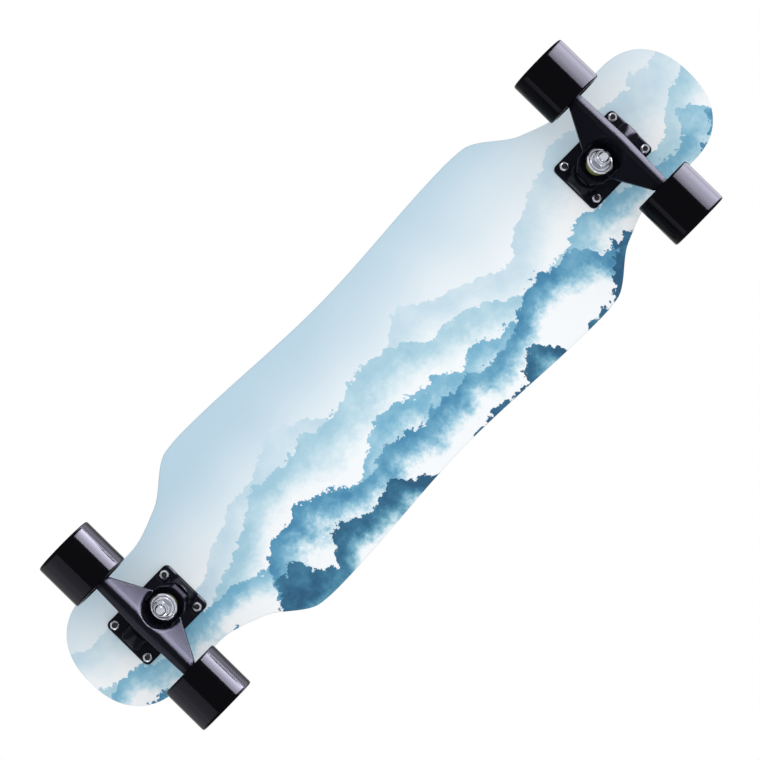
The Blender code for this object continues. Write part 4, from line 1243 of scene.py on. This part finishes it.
# %% The outline
HALF_LENGTH, HALF_WIDTH = 0.390, 0.100
PADDLE_RUN, PADDLE_HALF_WIDTH, PADDLE_ROUNDNESS = 0.056, 0.0602, 2.3
PADDLE_POINTS, SIDE_POINTS = 28, 80
OUTLINE = [
    (PADDLE_RUN, PADDLE_HALF_WIDTH), (0.108, 0.0569), (0.152, 0.0695),
    (0.197, 0.0985), (0.218, 0.1000), (HALF_LENGTH, 0.0925),
]


def smooth_through(keys, at_place):
    """The height at a place along key points (place, height), with no overshoot between them."""
    gaps = [b[0] - a[0] for a, b in zip(keys, keys[1:])]
    slopes = [(b[1] - a[1]) / gap for a, b, gap in zip(keys, keys[1:], gaps)]
    tangents = [0.0]
    for before, after in zip(slopes, slopes[1:]):
        turns_back = before * after <= 0
        tangents.append(0.0 if turns_back else 2 * before * after / (before + after))
    tangents.append(0.0)
    i = next(i for i in range(len(gaps)) if at_place <= keys[i + 1][0] + 1e-9)
    (place, low), (_, high), gap = keys[i], keys[i + 1], gaps[i]
    t = (at_place - place) / gap
    start = (1 + 2 * t) * (1 - t) ** 2 * low + t * (1 - t) ** 2 * gap * tangents[i]
    return start + t * t * (3 - 2 * t) * high - t * t * (1 - t) * gap * tangents[i + 1]


def half_width(from_tip):
    """Half the deck's width at a distance from its nearer tip."""
    if from_tip >= PADDLE_RUN:
        return smooth_through(OUTLINE, from_tip)
    round_part = 1 - (1 - from_tip / PADDLE_RUN) ** PADDLE_ROUNDNESS
    return PADDLE_HALF_WIDTH * round_part ** (1 / PADDLE_ROUNDNESS)


turns = [math.pi / 2 * step / PADDLE_POINTS for step in range(PADDLE_POINTS + 1)]
places = [PADDLE_RUN * (1 - math.cos(turn)) for turn in turns]
side_run = HALF_LENGTH - PADDLE_RUN
places += [PADDLE_RUN + side_run * step / SIDE_POINTS for step in range(1, SIDE_POINTS + 1)]
half_line = [(place - HALF_LENGTH, half_width(place)) for place in places]
outline = np.array(half_line + [(-x, y) for x, y in reversed(half_line[:-1])])
slope = np.gradient(outline, axis=0)
normals = np.stack([-slope[:, 1], slope[:, 0]], axis=1)
normals /= np.linalg.norm(normals, axis=1)[:, None]
normals[0], normals[-1] = (-1, 0), (1, 0)
print("outline points:", len(outline), "widest", outline[:, 1].max())

# %% A flat board
COLUMNS = np.linspace(-1, 1, 29)


def rail(inset, bottom, top, lower_round, upper_round, steps=6):
    """The rail's profile from under the board to its top: how far in, and how high."""
    quarter = [math.pi / 2 * step / steps for step in range(steps + 1)]
    arc = [(1 - math.sin(t), 1 - math.cos(t)) for t in quarter]
    low = [(inset + lower_round * s, bottom + lower_round * c) for s, c in arc]
    high = [(inset + upper_round * c, top - upper_round * s) for s, c in arc]
    return low + high


def flat_board(name, *sizes):
    """A closed flat board: for each place along the outline, a loop round the board's section."""
    profile = rail(*sizes)
    loops = []
    for (x, y), (nx, ny) in zip(outline, normals):
        left = [(x - nx * d, max(0.0, y - ny * d), h) for d, h in profile]
        (x0, y0, z0), (x1, y1, z1) = left[0], left[-1]
        under = [(x0, y0 * share, z0) for share in COLUMNS[1:-1]]
        over = [(x1, y1 * share, z1) for share in COLUMNS[-2:0:-1]]
        right = [(px, -py, pz) for px, py, pz in reversed(left)]
        loops.append(under + left + over + right)
    return cleaned(skin(name, loops))


def drilled(mesh, radius, head, rim):
    """The board with its eight countersunk holes, cut through by a far larger margin."""
    past = 0.01
    hole = [(0, -past), (radius, -past), (radius, rim - COUNTERSINK)]
    hole = turned("hole", hole + [(head, rim), (head, rim + past), (0, rim + past)], sides=48)
    cutters = on_points("holes", hole, [(x, y, 0) for x, y in holes], 1, FINISHES["nylon"])
    target, cutter = in_scene("target", mesh), in_scene("cutter", cutters)
    step = target.modifiers.new("drill", "BOOLEAN")
    step.object, step.operation, step.solver = cutter, "DIFFERENCE", "EXACT"
    made = baked(target)
    bpy.data.objects.remove(cutter)
    return made


GRIP_INSET, HEAD_HOLE = 0.0030, 0.0049
GRIP_BOTTOM, DECK_HOLES_RIM = DECK_THICKNESS + GAP, DECK_THICKNESS + 0.0008
GRIP_FACE = GRIP_BOTTOM + 0.0008
flat_deck = flat_board("deck", 0.0, 0.0, DECK_THICKNESS, 0.0016, 0.0030)
flat_deck = drilled(flat_deck, BOLT_HOLE, HEAD_HOLE, DECK_HOLES_RIM)
flat_grip = flat_board("grip", GRIP_INSET, GRIP_BOTTOM, GRIP_FACE, 0.0001, 0.0003)
flat_grip = drilled(flat_grip, HEAD_HOLE, HEAD_HOLE, GRIP_FACE)
print("flat deck:", len(flat_deck.polygons), "faces, grip:", len(flat_grip.polygons))


# %% Press the board
def press_tree():
    """Bends a flat board: a kick at each tip and a hollow across. `ply` keeps the height in it."""
    sizes = {
        "Base": DECK_BOTTOM,
        "Half Length": HALF_LENGTH,
        "Kick Length": 0.040,
        "Kick Blend": 0.020,
        "Kick Slope": math.tan(math.radians(10)),
        "Flat": 0.042,
        "Half Width": HALF_WIDTH,
        "Hollow": 0.005,
    }
    tree, given, out = growing_tree("press_the_board", sizes)
    x, y, z = xyz(tree, put(tree, "GeometryNodeInputPosition"))
    from_tip = given["Half Length"] - abs(x)
    into = (given["Kick Length"] - from_tip).math("MAXIMUM", 0.0)
    blend = given["Kick Blend"]
    eased = (blend - into).math("MAXIMUM", 0.0) ** 2.0 / (blend * 2.0)
    kick = (into - blend * 0.5 + eased) * given["Kick Slope"]
    beyond = (abs(y) - given["Flat"]).math("MAXIMUM", 0.0)
    hollow = (beyond / (given["Half Width"] - given["Flat"])) ** 2.0 * given["Hollow"]
    keep = {"Geometry": given["Geometry"], "Name": "ply", "Value": z}
    kind = dict(data_type="FLOAT", domain="POINT")
    kept = put(tree, "GeometryNodeStoreNamedAttribute", keep, **kind)
    offset = put(tree, "ShaderNodeCombineXYZ", {"Z": kick + hollow + given["Base"]})
    pressed = put(tree, "GeometryNodeSetPosition", {"Geometry": kept, "Offset": offset})
    return finished_tree(tree, given, pressed, out)


PRESS = press_tree()
print("press tree has", len(PRESS.nodes), "nodes")

# %% [markdown]
# ## The print under the deck
# The underside carries a heat-pressed print: pale blue sky at one rail, white mist, and deeper blue
# hills in watercolour towards the other. Each hill is one wash, and a wash is a node group: its
# upper edge is crisp and ragged, its colour settles in blots, and it thins out into mist below.
# Five washes are laid from far to near.

# %% One wash of watercolour
MIST = tint(246, 250, 253)
SKY = tint(186, 213, 229)


def wash_group():
    """A hill over what lies under it. Level is where its edge runs across the board."""
    inputs = {
        "Under": MIST,
        "Paint": MIST,
        "Level": 0.0,
        "Relief": 0.05,
        "Scale": 9.0,
        "Shift": 0.0,
        "Ragged": 0.006,
        "Fade": 0.06,
        "Strength": 1.0,
    }
    tree, given, out = new_tree("ShaderNodeTree", "watercolour_wash", inputs, {"Color": "Color"})
    place = own_place(tree)
    x, y, _ = xyz(tree, place)
    plane = put(tree, "ShaderNodeCombineXYZ", {"X": x, "Y": y * 0.45, "Z": given["Shift"]})
    edge = (noise(tree, plane, given["Scale"], 3.0) - 0.5) * (given["Relief"] * 4.0)
    rough = (noise(tree, place, 130.0, 5.0, 0.65) - 0.5) * (given["Ragged"] * 4.0)
    below = y + edge + rough - given["Level"]
    thin = (below / given["Fade"]).ramp(0.1, 1.0, 1.0, 0.0)
    blots = noise(tree, place, 26.0, 6.0, 0.6).ramp(0.25, 0.75, 0.55, 1.15)
    settled = (thin * blots).math("MINIMUM", 1.0)
    film = put(tree, "ShaderNodeGamma", {"Color": given["Paint"], "Gamma": settled})
    hill = put(tree, "ShaderNodeVectorMath", {0: film, 1: MIST[:3]}, operation="MULTIPLY")
    share = below.ramp(0.0, 0.0008) * given["Strength"]
    share.mix(given["Under"], hill).to(out["Color"])
    return tree


WASH = wash_group()
print("a wash has", len(WASH.nodes), "nodes")

# %% [markdown]
# ## Printed maple
# One material covers the deck. The attribute `ply` says how high in the board a point lies: the
# print covers the underside and its rounded edge, the veneers show on the rail as bands of lighter
# and darker maple, and the rest is plain lacquered maple with a long grain.

# %% The print
WASHES = [
    (tint(196, 221, 233), -0.022, 0.050, 6.0, 1.7, 0.004, 0.050, 0.9),
    (tint(162, 204, 221), 0.004, 0.045, 7.5, 4.2, 0.006, 0.042, 0.95),
    (tint(116, 176, 204), 0.032, 0.045, 9.0, 9.1, 0.007, 0.036, 1.0),
    (tint(64, 132, 170), 0.052, 0.050, 8.0, 14.6, 0.008, 0.040, 1.0),
    (tint(26, 86, 120), 0.078, 0.055, 10.0, 22.3, 0.009, 0.050, 1.0),
]


def print_colour(tree):
    """The washes over the sky."""
    place = own_place(tree)
    drift = noise(tree, place, 5.0, 2.0)
    height = xyz(tree, place)[1] + (drift - 0.5) * 0.12
    colour = height.ramp(-0.100, 0.022).mix(SKY, MIST)
    words = ("Paint", "Level", "Relief", "Scale", "Shift", "Ragged", "Fade", "Strength")
    for wash in WASHES:
        given = {"Under": colour, **dict(zip(words, wash))}
        colour = put(tree, "ShaderNodeGroup", given, node_tree=WASH)
    return colour


print("washes:", len(WASHES))

# %% Maple and grip
VENEERS = 7
LACQUER_ROUGHNESS = 0.42


def maple_colour(tree, ply):
    """Veneers in layers: every other one is turned, so the rail shows its darker end grain."""
    stretch = {"Vector": own_place(tree), "Scale": (9.0, 260.0, 260.0)}
    grain = noise(tree, put(tree, "ShaderNodeMapping", stretch), 1.0, 5.0).ramp(0.3, 0.7)
    pale = grain.mix(tint(214, 180, 136), tint(190, 150, 104))
    dark = grain.mix(tint(168, 122, 78), tint(140, 98, 60))
    band = (ply / (2 * DECK_THICKNESS / VENEERS)).math("FRACT")
    return band.math("GREATER_THAN", 0.5).mix(pale, dark)


def printed_maple():
    """The print below, maple above, and lacquer over both."""
    roughness = LACQUER_ROUGHNESS
    made, tree, shader = finish("printed_maple", MIST, roughness, specular=0.3, coat=0.15)
    ply = put(tree, "ShaderNodeAttribute", output="Fac", attribute_name="ply")
    above = ply.ramp(0.0013, 0.0015)
    above.mix(print_colour(tree), maple_colour(tree, ply)).to(shader["Base Color"])
    grain = grained(tree, shader, 500.0, 0.25, roughness)
    emboss(tree, shader, grain.other("Height"), 0.00003)
    return made


def grip_finish():
    """Black grit in resin: sharp grains that stand up, and a few painted lighter as a painted
    highlight.
    """
    made, tree, shader = finish("black_grit", tint(24, 24, 26), 0.85, specular=0.35)
    place = own_place(tree)
    grains = put(tree, "ShaderNodeTexVoronoi", {"Vector": place, "Scale": 1500.0})
    # painted highlight: a few grains get a lighter base colour
    painted_glint = xyz(tree, grains.other("Color"))[0].ramp(0.8, 1.0) * 0.5
    dust = noise(tree, place, 14.0, 4.0).ramp(0.35, 0.75, 0.0, 0.5)
    base = dust.mix(tint(22, 22, 24), tint(44, 44, 46))
    painted_glint.mix(base, tint(96, 96, 102)).to(shader["Base Color"])
    emboss(tree, shader, 1.0 - grains.other("Distance"), 0.0003)
    return made


FINISHES["deck_wood"] = printed_maple()
FINISHES["grip_tape"] = grip_finish()
for name, flat, slot, node in (
    ("deck_pressed_maple", flat_deck, "deck_wood", "deck"),
    ("grip_sheet", flat_grip, "grip_tape", "grip_tape"),
):
    pressed = grown(PRESS, node, flat, {"Material": FINISHES[slot]})
    place_piece(name, pressed, IN_PLACE, slot, "board", node)
    print(name, "has", len(pressed.polygons), "faces")

# %% [markdown]
# ## Floor, background and lamps
# The camera stands under the floor, so the floor has to be there only when it is seen from above:
# its material asks whether a camera ray meets its upper face, and lets everything else through. Two
# thirds of its tone glows and is darkened by ambient occlusion, so the board stands in a soft grey
# shadow. The background is the world at strength 1 for rays from the camera, and for reflections.
# Two large lamps light the board softly from below and from above. Strips beside each truck are
# seen only as reflections in its own black pieces, where they draw the bright bands on the round
# urethane and the castings, and two small lamps do the same for the zinc.

# %% Floor
FLOOR_REACH, FLOOR_FADE = 4.0, (1.0, 3.8)
SHADOW_REACH, SHADOW_DEPTH, MATT_SHARE = 0.35, 1.3, 0.35
FLOOR_TINT, SHADOW_TINT = tint(240, 240, 242), tint(120, 122, 128)


def floor_look():
    """Pale from above for the camera, with a soft shadow, and clear for all else."""
    made = bpy.data.materials.new("pale_floor")
    made.use_nodes = True
    tree = made.node_tree
    tree.nodes.clear()
    above = 1.0 - put(tree, "ShaderNodeNewGeometry", output="Backfacing")
    ray = put(tree, "ShaderNodeLightPath", output="Is Camera Ray")
    away = put(tree, "ShaderNodeVectorMath", {0: own_place(tree)}, "Value", operation="LENGTH")
    shown = ray * above * away.ramp(*FLOOR_FADE, 1.0, 0.0)
    shade = {"Distance": SHADOW_REACH}
    shade = put(tree, "ShaderNodeAmbientOcclusion", shade, output="AO", samples=8)
    tone = (shade**SHADOW_DEPTH).mix(SHADOW_TINT, FLOOR_TINT)
    glow = put(tree, "ShaderNodeEmission", {"Color": tone})
    matt = put(tree, "ShaderNodeBsdfDiffuse", {"Color": FLOOR_TINT})
    pale = put(tree, "ShaderNodeMixShader", {0: MATT_SHARE, 1: glow, 2: matt})
    clear = put(tree, "ShaderNodeBsdfTransparent")
    both = put(tree, "ShaderNodeMixShader", {0: shown, 1: clear, 2: pale})
    put(tree, "ShaderNodeOutputMaterial", {"Surface": both})
    return made


corners = [(x * FLOOR_REACH, y * FLOOR_REACH, 0) for x, y in ((-1, -1), (1, -1), (1, 1), (-1, 1))]
floor = in_scene("floor", plain_mesh("floor", corners, [(0, 1, 2, 3)]))
floor.data.materials.append(floor_look())
print("floor reaches", FLOOR_REACH, "m")

# %% World
AMBIENT = 0.70
world = bpy.data.worlds.new("studio")
bpy.context.scene.world = world
world.use_nodes = True
sky_tree = world.node_tree
sky_tree.nodes.clear()
ray = put(sky_tree, "ShaderNodeLightPath", output="Is Camera Ray")
seen = ray.math("MAXIMUM", ray.other("Is Glossy Ray"))
seen = seen.math("MAXIMUM", ray.other("Is Transmission Ray"))
level = seen.math("MULTIPLY_ADD", 1.0 - AMBIENT, AMBIENT)
sky = put(sky_tree, "ShaderNodeBackground", {"Color": (1, 1, 1, 1), "Strength": level})
put(sky_tree, "ShaderNodeOutputWorld", {"Surface": sky})
print("ambient light:", AMBIENT)


# %% Lamps
def soft_box(name, place, target, size, glow):
    """An area lamp that faces a target. glow is what a white card right under it sends back."""
    lamp = bpy.data.lights.new(name, "AREA")
    lamp.shape = "RECTANGLE"
    lamp.size, lamp.size_y = size
    lamp.energy = glow * math.pi * size[0] * size[1]
    made = in_scene(name, lamp)
    away = (Vector(place) - Vector(target)).normalized()
    across = Vector((0, 1, 0)).cross(away).normalized()
    facing = Matrix((across, away.cross(across), away)).transposed().to_4x4()
    made.matrix_world = at(*place) @ facing
    made.visible_camera = made.visible_glossy = False
    return made


def gathered(name, things):
    """A collection for light linking."""
    made = bpy.data.collections.new(name)
    for thing in things:
        made.objects.link(thing)
    return made


def only_reflected(lamp, pieces):
    """Lets a lamp show in the gloss of some pieces, and do nothing else."""
    lamp.visible_glossy, lamp.visible_diffuse = True, False
    lamp.light_linking.receiver_collection = gathered(f"{lamp.name}_lights", pieces)


under = soft_box("under_light", (0.2, 0.1, -2.0), (0, 0, 0.1), (2.4, 2.4), 1.05)
deck = bpy.data.objects["deck_pressed_maple"]
under.light_linking.blocker_collection = gathered("under_light_shadows", [deck])
soft_box("over_light", (-0.5, -0.6, 2.0), (0, 0, 0), (2.0, 2.0), 1.3)
print("the lamp below throws the shadow of", deck.name, "alone")

# %% Strips and sparks
STRIP_REACH, STRIP_WIDTH = 0.8, 0.4
LAVENDER = (0.82, 0.80, 1.0)
WHEELS, CASTINGS, BOTH = ("_wheel_",), ("_cast",), ("_wheel_", "_cast")


def far(angle):
    """A place at the strips' reach, in degrees from straight down and positive to the nose."""
    turn = math.radians(angle)
    return STRIP_REACH * math.sin(turn), -STRIP_REACH * math.cos(turn)


def strip(name, kinds, start, end, glows):
    """A lamp that only some kinds of a truck's pieces reflect. It runs between two places beside
    the axle, and its glow goes from the first to the last by height."""
    truck = name.split("_")[0]
    axle_middle = TRUCKS[truck] @ AXLE
    edges = [axle_middle + Vector((along, 0, up)) for along, up in (start, end)]
    size = (edges[1] - edges[0]).length, STRIP_WIDTH
    made = soft_box(name, (edges[0] + edges[1]) / 2, axle_middle, size, 1.0)
    own = [piece for piece in made_pieces if piece.name.startswith(truck)]
    only_reflected(made, [p for p in own if any(kind in p.name for kind in kinds)])
    made.data.color = LAVENDER
    made.data.use_nodes = True
    tree = made.data.node_tree
    height = xyz(tree, put(tree, "ShaderNodeNewGeometry", output="Position"))[2]
    level = height.ramp(edges[0].z, edges[1].z, *glows)
    level.to(tree.nodes["Emission"].inputs["Strength"])


STRIPS = [
    ("front_low", BOTH, far(39), far(62), (72.0, 118.0)),
    ("front_middle", BOTH, far(62), far(90), (120.0, 94.0)),
    ("front_high", BOTH, far(90), far(120), (82.0, 20.0)),
    ("front_top", BOTH, far(120), far(152), (14.0, 1.0)),
    ("front_dim", BOTH, far(-67), far(-85), (5.0, 2.5)),
    ("rear_web_low", CASTINGS, far(28), far(43), (60.0, 110.0)),
    ("rear_web", CASTINGS, far(43), far(57), (35.0, 65.0)),
    ("rear_web_high", CASTINGS, far(57), far(97), (190.0, 240.0)),
    ("rear_low", WHEELS, far(52), far(95), (125.0, 250.0)),
    ("rear_line", WHEELS, (0.0677, -0.0125), (0.0675, -0.0065), (78.0, 55.0)),
    ("rear_gap", WHEELS, (0.0675, -0.0065), (0.0668, 0.0015), (18.0, 16.0)),
    ("rear_second", WHEELS, (0.0668, 0.0015), (0.0650, 0.0075), (27.0, 18.0)),
    ("rear_last", WHEELS, (0.0650, 0.0075), (0.0590, 0.0240), (10.0, 2.0)),
    ("rear_dim", BOTH, far(-34), far(-90), (6.0, 7.5)),
    ("rear_end", BOTH, far(-90), far(-140), (5.0, 0.1)),
]
for words in STRIPS:
    strip(*words)
bright_zinc = [piece for piece in made_pieces if piece.data.materials[0] == zinc]
for name, place in (("spark_low", (0.5, -0.7, -1.3)), ("spark_side", (-0.9, 0.6, -0.5))):
    only_reflected(soft_box(name, place, (0, 0, 0.04), (0.4, 0.4), 6.0), bright_zinc)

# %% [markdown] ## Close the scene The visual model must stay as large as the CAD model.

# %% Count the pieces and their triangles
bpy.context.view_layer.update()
triangles = sum(len(piece.data.loop_triangles) for piece in made_pieces)
print("pieces:", len(made_pieces), "triangles:", triangles)
